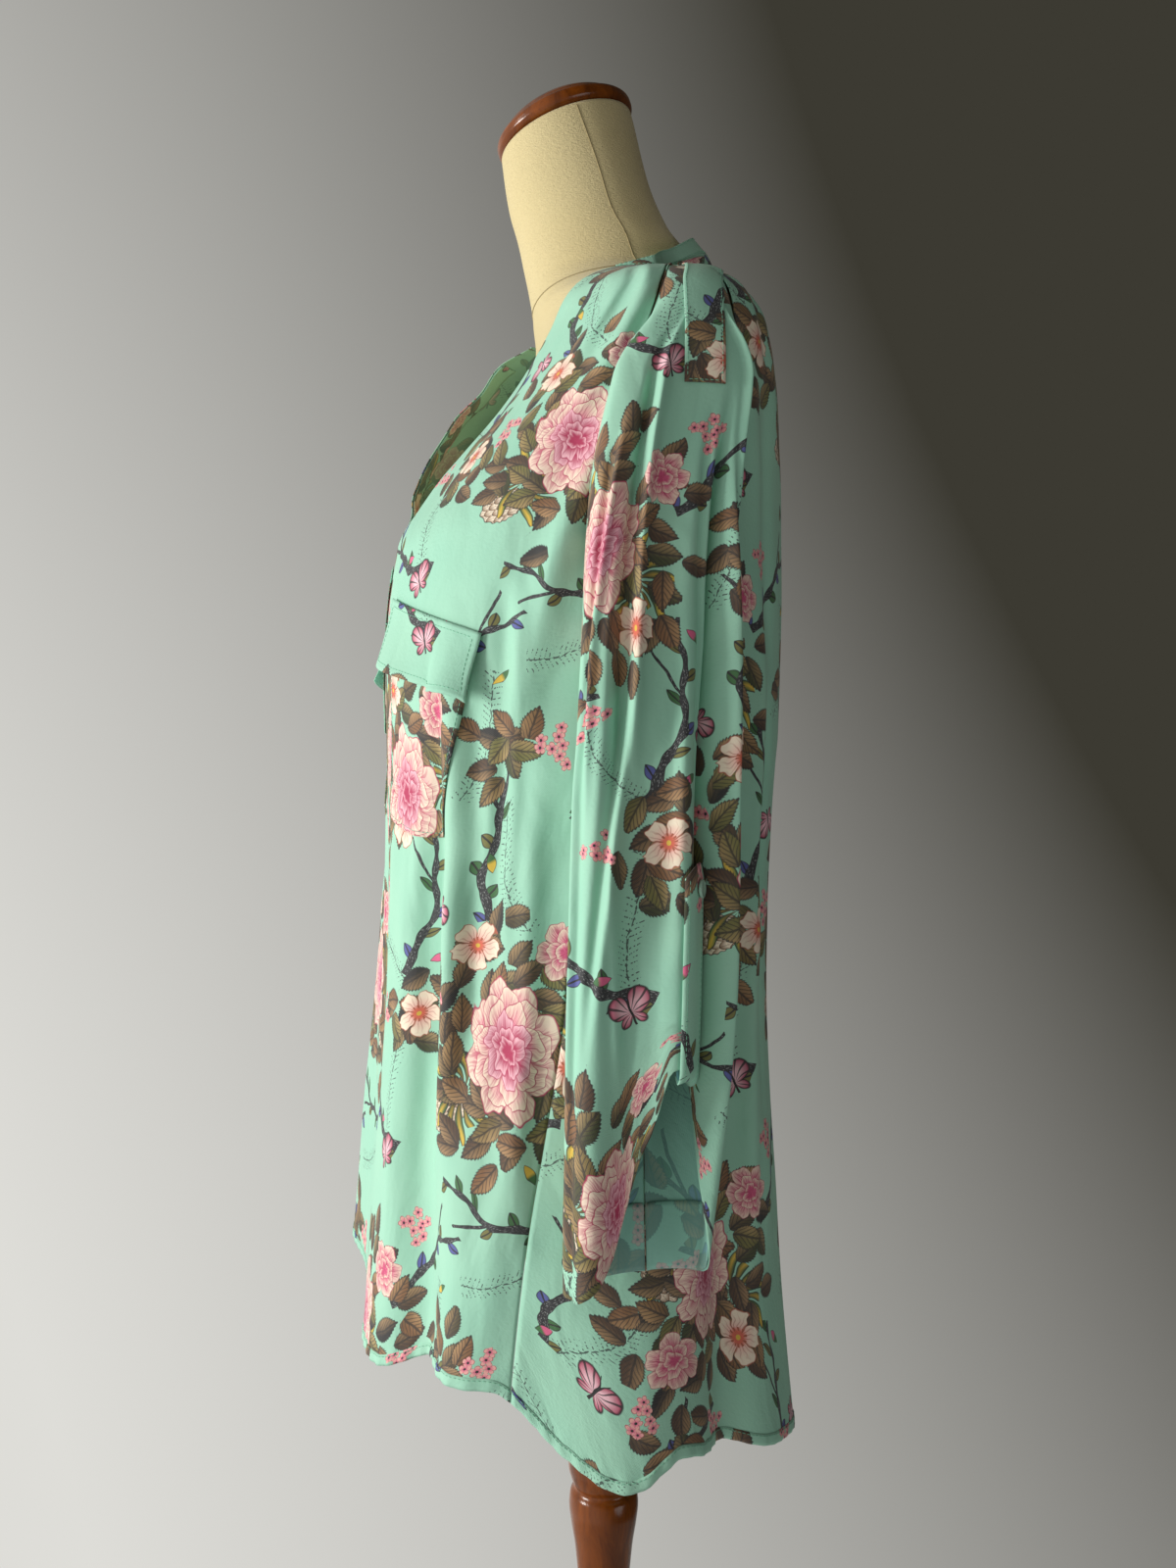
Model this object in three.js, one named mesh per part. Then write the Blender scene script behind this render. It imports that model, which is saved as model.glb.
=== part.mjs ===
// A printed tunic blouse on a limbless dress form.
// The blouse is a popover: front, back, two wide elbow sleeves with roll tabs, a narrow stand band that runs
// on down a V neck, a short buttoned placket, two chest pockets with flaps and a strip along each shoulder.
// The form is a smooth torso and neck with a turned wooden cap, post and foot.
// Millimetres. +Z is up, +X is the wearer's left and -Y the front.
// The origin is the middle of the foot's underside, on the floor.
import * as THREE from 'three';

const CLOTH_WALL = 1.5;
const SEAM_GAP = 0.8;
const FACE_GAP = 1;
const TIP_GAP = 2.2;
const LAY_GAP = 0.4;
const FACING_WALL = 1.2;
const FACING_WIDTH = 20;

const NECK_BAND_WIDTH = 16;
const SHOULDER_STRIP_WIDTH = 28;
const PLACKET_WIDTH = 24;
const PLACKET_TOP = 1214;
const PLACKET_BOTTOM = 1082;
const BUTTON_RADIUS = 5.5;
const BUTTON_THICKNESS = 2.4;
const UNDERARM_HEIGHT = 1120;
const V_BOTTOM_HEIGHT = 1206;

// The blouse's body, level by level: half width, front and back depth, the y of its widest point, and how
// square the outline is (1 is an ellipse). frontEnd and backEnd are the angles, counted from the centre
// front, where the front and back panels stop at the shoulder seam, the armhole or the side seam.
const BODY = [
  { z: 1450, half: 65, front: -61, back: 77, side: 5, square: 1, frontEnd: 90, backEnd: 90 },
  { z: 1437, half: 66, front: -59, back: 84, side: 10, square: 1, frontEnd: 90, backEnd: 90 },
  { z: 1420, half: 69.5, front: -58, back: 89, side: 16, square: 1, frontEnd: 90, backEnd: 90 },
  { z: 1410, half: 79, front: -57, back: 91, side: 19.5, square: 1, frontEnd: 90, backEnd: 90 },
  { z: 1402, half: 96, front: -57, back: 92, side: 22, square: 1, frontEnd: 90, backEnd: 90 },
  { z: 1397, half: 107, front: -57, back: 94, side: 23.5, square: 1, frontEnd: 90, backEnd: 90 },
  { z: 1389, half: 126, front: -57, back: 94, side: 26, square: 1, frontEnd: 90, backEnd: 90 },
  { z: 1381, half: 144, front: -57, back: 97, side: 28, square: 1, frontEnd: 86, backEnd: 94 },
  { z: 1373, half: 160, front: -57, back: 101.5, side: 29, square: 1, frontEnd: 81, backEnd: 99 },
  { z: 1364, half: 172, front: -58, back: 107.5, side: 30, square: 1, frontEnd: 78, backEnd: 102 },
  { z: 1352, half: 180, front: -62, back: 115, side: 29.5, square: 1, frontEnd: 76, backEnd: 105 },
  { z: 1335, half: 184.5, front: -70, back: 119, side: 27, square: 1, frontEnd: 75, backEnd: 107 },
  { z: 1310, half: 186, front: -84, back: 122, side: 22, square: 0.98, frontEnd: 74, backEnd: 108 },
  { z: 1280, half: 186, front: -106, back: 123.5, side: 16, square: 0.96, frontEnd: 74, backEnd: 108 },
  { z: 1245, half: 185.5, front: -133, back: 125, side: 10, square: 0.94, frontEnd: 75, backEnd: 107 },
  { z: 1206, half: 185, front: -157, back: 125, side: 6, square: 0.92, frontEnd: 77, backEnd: 104 },
  { z: 1165, half: 185, front: -163, back: 124.5, side: 4, square: 0.9, frontEnd: 80, backEnd: 98 },
  { z: 1120, half: 186, front: -165, back: 123, side: 2, square: 0.9, frontEnd: 87, backEnd: 87 },
  { z: 1070, half: 188, front: -164, back: 120.5, side: 0, square: 0.9, frontEnd: 84, backEnd: 84 },
  { z: 1015, half: 191, front: -164, back: 116, side: -3, square: 0.9, frontEnd: 80, backEnd: 80 },
  { z: 960, half: 196, front: -165, back: 112, side: -6, square: 0.9, frontEnd: 77, backEnd: 77 },
  { z: 900, half: 202, front: -167, back: 110, side: -8, square: 0.91, frontEnd: 75, backEnd: 75 },
  { z: 840, half: 208.5, front: -171, back: 111.5, side: -10, square: 0.92, frontEnd: 72, backEnd: 72 },
  { z: 780, half: 215, front: -176, back: 114.5, side: -12, square: 0.93, frontEnd: 69, backEnd: 69 },
  { z: 700, half: 223, front: -182, back: 119, side: -14, square: 0.95, frontEnd: 66, backEnd: 66 },
  { z: 570, half: 236, front: -190, back: 130, side: -16, square: 0.95, frontEnd: 64, backEnd: 64 },
];

// How far each half of the front's neck edge lies from the centre, and how far the right half stands forward
// of the left. Then the angle of the back panel's neck edge.
const FRONT_NECK = [
  { z: 1402, left: 90, right: 72, stand: 20 },
  { z: 1397, left: 91.5, right: 73, stand: 24 },
  { z: 1385, left: 90, right: 73, stand: 33 },
  { z: 1365, left: 82, right: 70, stand: 39 },
  { z: 1337, left: 67, right: 61, stand: 49 },
  { z: 1311, left: 55, right: 53, stand: 48 },
  { z: 1272, left: 41, right: 41, stand: 35 },
  { z: 1250, left: 32, right: 32, stand: 19 },
  { z: 1231, left: 25, right: 25, stand: 12 },
  { z: 1206, left: 12, right: 12, stand: 1 },
  { z: 1180, left: 10, right: 10, stand: 0 },
];
const NECK_STAND_SPREAD = 32;
const BACK_NECK = [
  { z: 1446, angle: 166 },
  { z: 1443, angle: 156 },
  { z: 1437, angle: 141 },
  { z: 1428, angle: 126 },
  { z: 1418, angle: 112 },
  { z: 1409, angle: 100 },
  { z: 1402, angle: 90.4 },
];

// The hem's height by angle from the centre front: low in front, high at the side seam, lowest at the back.
const HEM = [
  { angle: 0, z: 658 },
  { angle: 27, z: 664 },
  { angle: 45, z: 684 },
  { angle: 64, z: 688 },
  { angle: 80, z: 656 },
  { angle: 91, z: 641 },
  { angle: 102, z: 655 },
  { angle: 110, z: 648 },
  { angle: 128, z: 632 },
  { angle: 143, z: 617 },
  { angle: 158, z: 603 },
  { angle: 180, z: 592 },
];

// Hanging folds: angle where each begins and where it meets the hem, half width, both in degrees, the height
// that it starts from, and how far it stands out at the hem. A valley has a negative lift.
const HANGING_FOLDS = [
  { name: 'centre front valley', top: 0, hem: 1, wide: 9, from: 1080, lift: -14 },
  { name: 'left front ridge', top: 24, hem: 27, wide: 8, from: 1190, lift: 3 },
  { name: 'left front valley', top: 39, hem: 41, wide: 7, from: 1150, lift: -18 },
  { name: 'left side front ridge', top: 54, hem: 54, wide: 8, from: 1100, lift: 12 },
  { name: 'left side valley', top: 72, hem: 72, wide: 8, from: 760, lift: -7 },
  { name: 'left side ridge', top: 90, hem: 92, wide: 12, from: 760, lift: 9 },
  { name: 'left back valley', top: 116, hem: 118, wide: 9, from: 1000, lift: -24 },
  { name: 'left back ridge', top: 142, hem: 151, wide: 9, from: 1250, lift: 4 },
  { name: 'left back shallow valley', top: 162, hem: 167, wide: 6, from: 1150, lift: -8 },
  { name: 'centre back ridge', top: 178, hem: 176, wide: 9, from: 1200, lift: 8 },
  { name: 'right back valley', top: -160, hem: -158, wide: 7, from: 1120, lift: -12 },
  { name: 'right back ridge', top: -140, hem: -138, wide: 9, from: 1240, lift: 11 },
  { name: 'right side back valley', top: -119, hem: -116, wide: 9, from: 1010, lift: -20 },
  { name: 'right side ridge', top: -92, hem: -93, wide: 13, from: 770, lift: 9 },
  { name: 'right side valley', top: -74, hem: -75, wide: 7, from: 770, lift: -8 },
  { name: 'right side front ridge', top: -56, hem: -58, wide: 9, from: 1110, lift: 11 },
  { name: 'right front valley', top: -42, hem: -43, wide: 7, from: 1140, lift: -15 },
  { name: 'right front ridge', top: -25, hem: -30, wide: 10, from: 1240, lift: 41 },
];

// Gathers that spring from the shoulder strip: angle where each leaves the shoulder and where it dies away,
// half width in degrees, the height where it dies away and its greatest lift.
const SHOULDER_GATHERS = [
  { top: 84, end: 66, wide: 4, until: 1130, lift: 6 },
  { top: 74, end: 55, wide: 4, until: 1180, lift: 4.5 },
  { top: 63, end: 43, wide: 4.5, until: 1230, lift: 3.5 },
  { top: 98, end: 118, wide: 4, until: 1120, lift: 6 },
  { top: 108, end: 131, wide: 4.5, until: 1170, lift: 4.5 },
  { top: 121, end: 146, wide: 5, until: 1220, lift: 3.5 },
];

// The sleeve, level by level: its outer face, its front and back reach, and how far round from the underarm
// its open edge lies. The cuff's height goes round it by share, from the underarm seam by way of the front.
const SLEEVE = [
  { z: 1377, out: 152.5, front: 21.8, back: 34, open: 87 },
  { z: 1373, out: 161, front: 17.5, back: 38.5, open: 85 },
  { z: 1364, out: 175, front: 12.5, back: 44.5, open: 81 },
  { z: 1352, out: 187, front: 4, back: 51.5, open: 74 },
  { z: 1335, out: 196, front: -8, back: 58, open: 62 },
  { z: 1310, out: 203, front: -19, back: 63, open: 46 },
  { z: 1280, out: 208, front: -26, back: 60, open: 42 },
  { z: 1245, out: 212, front: -33, back: 54, open: 38 },
  { z: 1206, out: 216, front: -38, back: 49, open: 30 },
  { z: 1165, out: 219, front: -42, back: 46, open: 18 },
  { z: 1120, out: 223, front: -45, back: 44, open: 0 },
  { z: 1070, out: 227, front: -48, back: 42, open: 0 },
  { z: 1015, out: 232, front: -51, back: 40, open: 0 },
  { z: 960, out: 237, front: -54, back: 38, open: 0 },
  { z: 900, out: 243, front: -57, back: 35, open: 0 },
  { z: 840, out: 249, front: -59, back: 30, open: 0 },
  { z: 740, out: 256, front: -60, back: 16, open: 0 },
];
const CUFF = [
  { share: 0, z: 762 },
  { share: 0.14, z: 760 },
  { share: 0.27, z: 772 },
  { share: 0.38, z: 812 },
  { share: 0.47, z: 866 },
  { share: 0.52, z: 884 },
  { share: 0.58, z: 862 },
  { share: 0.68, z: 826 },
  { share: 0.78, z: 806 },
  { share: 0.9, z: 778 },
  { share: 1, z: 762 },
];
// Folds down the sleeve: share of the way round, half width as a share, where it starts and its depth.
const SLEEVE_FOLDS = [
  { share: 0.4, wide: 0.05, from: 1330, lift: 3.5 },
  { share: 0.47, wide: 0.035, from: 1340, lift: -6 },
  { share: 0.535, wide: 0.035, from: 1200, lift: 6 },
  { share: 0.605, wide: 0.04, from: 1240, lift: -15 },
  { share: 0.68, wide: 0.045, from: 1300, lift: 6 },
  { share: 0.3, wide: 0.04, from: 1150, lift: -5 },
];

// The dress form, level by level. It stays inside the blouse and carries it along the shoulders.
const FORM = [
  { z: 722, half: 150, front: -92, back: 92, side: 0 },
  { z: 735, half: 163, front: -101, back: 101, side: 0 },
  { z: 790, half: 171, front: -104, back: 107, side: 2 },
  { z: 860, half: 170, front: -102, back: 106, side: 4 },
  { z: 930, half: 150, front: -92, back: 90, side: 2 },
  { z: 1000, half: 130, front: -86, back: 74, side: 0 },
  { z: 1070, half: 142, front: -100, back: 82, side: 0 },
  { z: 1130, half: 157, front: -122, back: 94, side: 2 },
  { z: 1185, half: 168, front: -132, back: 103, side: 5 },
  { z: 1235, half: 174, front: -116, back: 109, side: 10 },
  { z: 1280, half: 178, front: -93, back: 112, side: 16 },
  { z: 1310, half: 180, front: -74, back: 112, side: 22 },
  { z: 1335, half: 179, front: -62, back: 110, side: 27 },
  { z: 1352, half: 175, front: -55, back: 106, side: 29.5 },
  { z: 1364, half: 167, front: -52, back: 102, side: 30 },
  { z: 1373, half: 155, front: -51, back: 98, side: 29 },
  { z: 1381, half: 139, front: -51, back: 94, side: 28 },
  { z: 1389, half: 121, front: -52, back: 90, side: 26 },
  { z: 1397, half: 102, front: -53.5, back: 87, side: 23.5 },
  { z: 1402, half: 89, front: -54, back: 85, side: 22 },
  { z: 1412, half: 69, front: -56, back: 81, side: 18 },
  { z: 1424, half: 58.5, front: -58.5, back: 76, side: 13 },
  { z: 1440, half: 56, front: -62, back: 69, side: 8 },
  { z: 1461, half: 54.5, front: -66, back: 50, side: -3 },
  { z: 1490, half: 53.5, front: -72, back: 34, side: -12 },
  { z: 1536, half: 50.5, front: -78, back: 20.5, side: -28 },
];
const NECK_TILT = 19;
const TILT_STARTS = 1440;
const FORM_STEPS = 36;

// The stand: turned profiles as radius and height, and the neck cap's profile above the neck's flat top.
const FOOT_RADIUS = 200;
const FOOT_HEIGHT = 30;
const POST_TOP = 721.6;
const POST = [
  { r: 34, z: 30.4 }, { r: 34, z: 42 }, { r: 24, z: 52 }, { r: 19, z: 70 }, { r: 17.5, z: 120 },
  { r: 17.5, z: 380 }, { r: 18.5, z: 420 }, { r: 22, z: 462 }, { r: 25.5, z: 484 }, { r: 26.5, z: 494 },
  { r: 25.5, z: 503 }, { r: 22.5, z: 508 }, { r: 24.5, z: 513 }, { r: 27, z: 524 }, { r: 26.5, z: 538 },
  { r: 23, z: 550 }, { r: 20, z: 556 }, { r: 20, z: 700 }, { r: 30, z: 704 }, { r: 30, z: POST_TOP },
];
const CAP = [
  { r: 48.5, z: 0.4 }, { r: 51.5, z: 2 }, { r: 53.5, z: 5 }, { r: 53.5, z: 8 }, { r: 51.5, z: 11 },
  { r: 48.5, z: 12.5 }, { r: 45.5, z: 15.5 }, { r: 37, z: 20.5 }, { r: 24, z: 24 }, { r: 10, z: 25.5 },
];

const COLOURS = {
  cloth: '#a6d9c2', band: '#9fd2bb', facing: '#86bfa8', form: '#e3d6ae', wood: '#8a4a22', button: '#cfe6dc',
};

const radians = Math.PI / 180;
const clamp = (x, low, high) => Math.min(high, Math.max(low, x));
const ease = (x) => { const s = clamp(x, 0, 1); return s * s * (3 - 2 * s); };
const mix = (a, b, s) => a + (b - a) * s;

// A smooth curve through one column of a table, with no overshoot between rows (Fritsch and Carlson).
function reader(table, by, name) {
  const rows = [...table].sort((a, b) => a[by] - b[by]);
  const steps = rows.slice(1).map((row, i) => (row[name] - rows[i][name]) / (row[by] - rows[i][by]));
  const slopes = rows.map((row, i) => {
    if (i === 0) return steps[0];
    if (i === rows.length - 1) return steps[i - 1];
    const [a, b] = [steps[i - 1], steps[i]];
    return a * b <= 0 ? 0 : (2 * a * b) / (a + b);
  });
  return (x) => {
    const at = clamp(x, rows[0][by], rows[rows.length - 1][by]);
    let i = 0;
    while (i < rows.length - 2 && at > rows[i + 1][by]) i += 1;
    const span = rows[i + 1][by] - rows[i][by];
    const s = (at - rows[i][by]) / span;
    return rows[i][name] * (1 + 2 * s) * (1 - s) ** 2 + slopes[i] * span * s * (1 - s) ** 2
      + rows[i + 1][name] * s * s * (3 - 2 * s) + slopes[i + 1] * span * s * s * (s - 1);
  };
}
function readers(table, by, names) {
  return Object.fromEntries(names.map((name) => [name, reader(table, by, name)]));
}

const body = readers(BODY, 'z', ['half', 'front', 'back', 'side', 'square', 'frontEnd', 'backEnd']);
const frontNeck = readers(FRONT_NECK, 'z', ['left', 'right', 'stand']);
const backNeck = reader(BACK_NECK, 'z', 'angle');
const hemHeight = reader(HEM, 'angle', 'z');
const sleeve = readers(SLEEVE, 'z', ['out', 'front', 'back', 'open']);
const cuffHeight = reader(CUFF, 'share', 'z');

const bump = (x, wide) => Math.exp(-((x / wide) ** 2));
const angleBetween = (a, b) => ((a - b + 540) % 360) - 180;

// How far the folds lift the body's cloth at an angle in degrees, positive to the wearer's left.
function bodyLift(angle, z) {
  let lift = 0;
  for (const fold of HANGING_FOLDS) {
    if (z > fold.from) continue;
    const grown = (fold.from - z) / (fold.from - 600);
    const centre = mix(fold.top, fold.hem, clamp(grown, 0, 1));
    lift += fold.lift * grown ** 0.8 * ease(grown * 3) * bump(angleBetween(angle, centre), fold.wide);
  }
  const ridge = 1397;
  for (const gather of SHOULDER_GATHERS) {
    if (z > ridge || z < gather.until) continue;
    const gone = (ridge - z) / (ridge - gather.until);
    const centre = mix(gather.top, gather.end, gone);
    const strength = ease(gone * 6) * ease((1 - gone) * 1.6);
    lift += gather.lift * strength * bump(Math.abs(angle) - centre, gather.wide);
  }
  return lift;
}

// A point on the blouse's body. The lift runs level, away from the outline's middle.
function bodyPoint(angle, z) {
  const turn = angle * radians;
  const [s, c] = [Math.sin(turn), Math.cos(turn)];
  const square = body.square(z);
  const side = body.side(z);
  const depth = c > 0 ? side - body.front(z) : body.back(z) - side;
  const x = body.half(z) * Math.sign(s) * Math.abs(s) ** square;
  const y = side - Math.sign(c) * depth * Math.abs(c) ** square;
  const away = Math.hypot(x, y - side);
  const lift = bodyLift(angle, z) / away;
  const edge = -Math.asin(clamp(frontNeck.right(z) / body.half(z), 0, 1)) / radians;
  const stand = z > PLACKET_BOTTOM ? frontNeck.stand(z) * bump(angle - edge, NECK_STAND_SPREAD) : 0;
  const forward = angle > edge ? stand * ease((30 - angle) / (30 - edge)) : stand;
  return new THREE.Vector3(x + x * lift, y + (y - side) * lift - forward, z);
}

// The widest that the body gets beside the sleeve at a level.
function bodyReach(z) {
  let reach = 0;
  for (let angle = 60; angle <= 120; angle += 5) reach = Math.max(reach, bodyPoint(angle, z).x);
  return reach;
}

// How far the sleeve's head keeps between the armhole's edges instead of bulging past them.
const tipWeight = (z) => ease((z - 1290) / 60);

// A point on the left sleeve, by share of the way round from its front edge over the outside to its back.
function sleevePoint(share, z) {
  const closed = z <= UNDERARM_HEIGHT;
  const front = bodyPoint(body.frontEnd(z), z);
  const back = bodyPoint(body.backEnd(z), z);
  const inside = closed ? bodyReach(z) + mix(0.4, 4, ease((UNDERARM_HEIGHT - z) / 60)) : front.x;
  const outside = sleeve.out(z);
  const open = sleeve.open(z);
  const turn = mix(open, 360 - open, share) * radians;
  const middle = (sleeve.front(z) + sleeve.back(z)) / 2;
  const reachY = (sleeve.back(z) - sleeve.front(z)) / 2;
  const [s, c] = [Math.sin(turn), Math.cos(turn)];
  const round = 0.72;
  const outline = (t) => {
    const [ts, tc] = [Math.sin(t), Math.cos(t)];
    return [(inside + outside) / 2 - ((outside - inside) / 2) * Math.sign(tc) * Math.abs(tc) ** round,
      middle - reachY * Math.sign(ts) * Math.abs(ts) ** round];
  };
  let [x, y] = outline(turn);
  const seamY = bodyPoint(body.frontEnd(UNDERARM_HEIGHT), UNDERARM_HEIGHT).y;
  const ends = [outline(open * radians), outline((360 - open) * radians)];
  const wanted = closed ? [[inside, seamY], [inside, seamY]] : [[front.x, front.y], [back.x, back.y]];
  const pulls = [Math.max(0, 1 - share * 4) ** 2, Math.max(0, 1 - (1 - share) * 4) ** 2];
  pulls.forEach((pull, end) => {
    x += (wanted[end][0] - ends[end][0]) * pull;
    y += (wanted[end][1] - ends[end][1]) * pull;
  });
  const atTip = tipWeight(z);
  if (atTip > 0) {
    const bulge = (outside - front.x) * Math.sin(Math.PI * share) ** 0.7;
    const half = (back.y - front.y) / 2 - TIP_GAP;
    x = mix(x, mix(front.x, back.x, share) + bulge, atTip);
    const along = mix(1 - 2 * share, Math.cos(Math.PI * share), 0.35);
    y = mix(y, (front.y + back.y) / 2 - half * along, atTip);
  }
  for (const fold of SLEEVE_FOLDS) {
    if (z > fold.from) continue;
    const grown = ease((fold.from - z) / 220);
    const lift = fold.lift * grown * bump(share - fold.share, fold.wide);
    x -= lift * c;
    y -= lift * s * 0.6;
  }
  return new THREE.Vector3(x, y, z);
}

// Levels shared by every piece near the shoulders, so that their facets lie parallel.
const SHOULDER_LEVELS = [1402, 1397, 1389, 1381, 1373, 1364, 1352, 1335];
const CHEST_LEVELS = [1310, 1280, 1245, V_BOTTOM_HEIGHT, 1165, UNDERARM_HEIGHT];
const BODY_LEVELS = [1070, 1015, 960, 900, 840, 780];
const HEM_SHARES = [0.36, 0.7, 1];
const BACK_NECK_LEVELS = [1446, 1442, 1435, 1427, 1418, 1409];
const SLEEVE_TOP = 1377;
const SLEEVE_LEVELS = [SLEEVE_TOP, 1373, 1364, 1352, 1335, ...CHEST_LEVELS, 1070, 1015, 960, 910];
const CUFF_SHARES = [0.25, 0.5, 0.75, 1];

// A closed wall from a grid of outer points. keep says which cells are cloth. Each wall's thickness runs
// inwards, against the outward normals, and every open edge is closed by a narrow face.
function wall(grid, thickness, keep = () => true) {
  const rows = grid.length;
  const columns = grid[0].length;
  const cellThere = (r, c) => r >= 0 && c >= 0 && r < rows - 1 && c < columns - 1 && keep(r, c);
  const normals = grid.map((row) => row.map(() => new THREE.Vector3()));
  for (let r = 0; r < rows - 1; r += 1) {
    for (let c = 0; c < columns - 1; c += 1) {
      if (!keep(r, c)) continue;
      const across = grid[r + 1][c + 1].clone().sub(grid[r][c]);
      const other = grid[r + 1][c].clone().sub(grid[r][c + 1]);
      const normal = other.cross(across).normalize();
      for (const [dr, dc] of [[0, 0], [0, 1], [1, 0], [1, 1]]) normals[r + dr][c + dc].add(normal);
    }
  }
  const index = new Map();
  const positions = [];
  const vertex = (r, c, inner) => {
    const key = `${r}/${c}/${inner}`;
    if (!index.has(key)) {
      const point = grid[r][c].clone();
      if (inner) point.addScaledVector(normals[r][c].clone().normalize(), -thickness);
      index.set(key, positions.length / 3);
      positions.push(point.x, point.y, point.z);
    }
    return index.get(key);
  };
  const faces = [];
  const quad = (a, b, c, d) => faces.push(a, b, c, a, c, d);
  for (let r = 0; r < rows - 1; r += 1) {
    for (let c = 0; c < columns - 1; c += 1) {
      if (!cellThere(r, c)) continue;
      const corner = (dr, dc, inner) => vertex(r + dr, c + dc, inner);
      quad(corner(0, 0, 0), corner(1, 0, 0), corner(1, 1, 0), corner(0, 1, 0));
      quad(corner(0, 0, 1), corner(0, 1, 1), corner(1, 1, 1), corner(1, 0, 1));
      if (!cellThere(r - 1, c)) quad(corner(0, 1, 0), corner(0, 1, 1), corner(0, 0, 1), corner(0, 0, 0));
      if (!cellThere(r + 1, c)) quad(corner(1, 0, 0), corner(1, 0, 1), corner(1, 1, 1), corner(1, 1, 0));
      if (!cellThere(r, c - 1)) quad(corner(0, 0, 0), corner(0, 0, 1), corner(1, 0, 1), corner(1, 0, 0));
      if (!cellThere(r, c + 1)) quad(corner(1, 1, 0), corner(1, 1, 1), corner(0, 1, 1), corner(0, 1, 0));
    }
  }
  const geometry = new THREE.BufferGeometry();
  geometry.setAttribute('position', new THREE.Float32BufferAttribute(positions, 3));
  geometry.setIndex(faces);
  return geometry;
}

const blouse = new THREE.Group();
function add(name, geometry, colour, roughness = 0.75) {
  geometry.computeVertexNormals();
  const mesh = new THREE.Mesh(geometry, new THREE.MeshStandardMaterial({ color: colour, roughness }));
  mesh.name = name;
  blouse.add(mesh);
  return mesh;
}

// Moves a point of one side over to the wearer's right.
const mirrored = (point) => new THREE.Vector3(-point.x, point.y, point.z);
const flip = (grid) => grid.map((row) => [...row].reverse().map(mirrored));

// The angle where the body's outline is this far from the centre, in front.
function angleAt(out, z) {
  return Math.asin(clamp(out / body.half(z), 0, 1) ** (1 / body.square(z))) / radians;
}

// Heights of a column of the body, from a list of levels down to the hem at an angle.
function bodyRows(levels) {
  const last = levels[levels.length - 1];
  return [...levels.map((z) => () => z), ...HEM_SHARES.map((share) => (angle) => (
    mix(last, hemHeight(Math.abs(angle)), share)))];
}

const FRONT_COLUMNS = 13;
const BACK_COLUMNS = 13;
const SLEEVE_COLUMNS = 22;

const frontHeights = bodyRows([...SHOULDER_LEVELS, ...CHEST_LEVELS, ...BODY_LEVELS]);
const gapDegrees = (z) => (SEAM_GAP / 2 / body.half(z)) / radians;

// The angles of the front's neck edge and of its outer edge on one side, 1 for left and -1 for right.
function frontSpan(side, z) {
  const out = side > 0 ? frontNeck.left(z) : frontNeck.right(z);
  return [angleAt(Math.min(out, body.half(z) * 0.97), z), body.frontEnd(z) - gapDegrees(z)];
}

// The front: columns run from the right side over the centre to the left side. The two neck edges meet at
// the foot of the V, and above it the middle column of cells is left out.
function frontGrid() {
  return frontHeights.map((height) => {
    const half = (side) => Array.from({ length: FRONT_COLUMNS }, (_, c) => {
      const share = c / (FRONT_COLUMNS - 1);
      const rough = height(mix(0, body.frontEnd(780), share));
      const [start, end] = frontSpan(side, rough);
      const angle = mix(start, end, share);
      return bodyPoint(side * angle, height(angle));
    });
    return [...half(-1).reverse(), ...half(1)];
  });
}
const frontLevels = [...SHOULDER_LEVELS, ...CHEST_LEVELS];
const frontRowLevels = [...frontLevels, ...BODY_LEVELS];
const frontPanel = (grid) => wall(grid, CLOTH_WALL, (r, c) => (
  c !== FRONT_COLUMNS - 1 || r >= frontLevels.indexOf(V_BOTTOM_HEIGHT)));

// The back: columns run from the left side over the centre back to the right side.
function backGrid() {
  const levels = [...BACK_NECK_LEVELS, ...SHOULDER_LEVELS, ...CHEST_LEVELS, ...BODY_LEVELS];
  return bodyRows(levels).map((height) => {
    const half = [];
    for (let c = 0; c < BACK_COLUMNS; c += 1) {
      const share = c / (BACK_COLUMNS - 1);
      const rough = height(mix(body.backEnd(780), 180, share));
      const neck = rough > 1402 ? backNeck(rough) : 0;
      const start = Math.max(neck, body.backEnd(rough) + gapDegrees(rough));
      const angle = mix(start, 180, share);
      half.push({ angle, z: height(angle) });
    }
    return [
      ...half.map(({ angle, z }) => bodyPoint(angle, z)),
      ...half.slice(0, -1).reverse().map(({ angle, z }) => bodyPoint(-angle, z)),
    ];
  });
}

// The left sleeve. Its open edges lie along the armhole with a gap, and below the underarm they meet.
function sleeveGrid() {
  const last = SLEEVE_LEVELS[SLEEVE_LEVELS.length - 1];
  const heights = [...SLEEVE_LEVELS.map((z) => () => z),
    ...CUFF_SHARES.map((part) => (share) => mix(last, cuffHeight(share), part))];
  return heights.map((height) => {
    const row = [];
    for (let c = 0; c < SLEEVE_COLUMNS; c += 1) {
      const share = c / (SLEEVE_COLUMNS - 1);
      const z = height(share);
      const point = sleevePoint(share, z);
      const edge = c === 0 ? 1 : (c === SLEEVE_COLUMNS - 1 ? -1 : 0);
      const along = z > UNDERARM_HEIGHT ? FACE_GAP * (1 - tipWeight(z)) : SEAM_GAP / 2;
      const butt = z > UNDERARM_HEIGHT ? ease((z - UNDERARM_HEIGHT) / 120) : -1;
      point.y += edge * along * butt;
      point.x += FACE_GAP * (edge ? 1 - tipWeight(z) : 0);
      row.push(point);
    }
    return row;
  });
}

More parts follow.
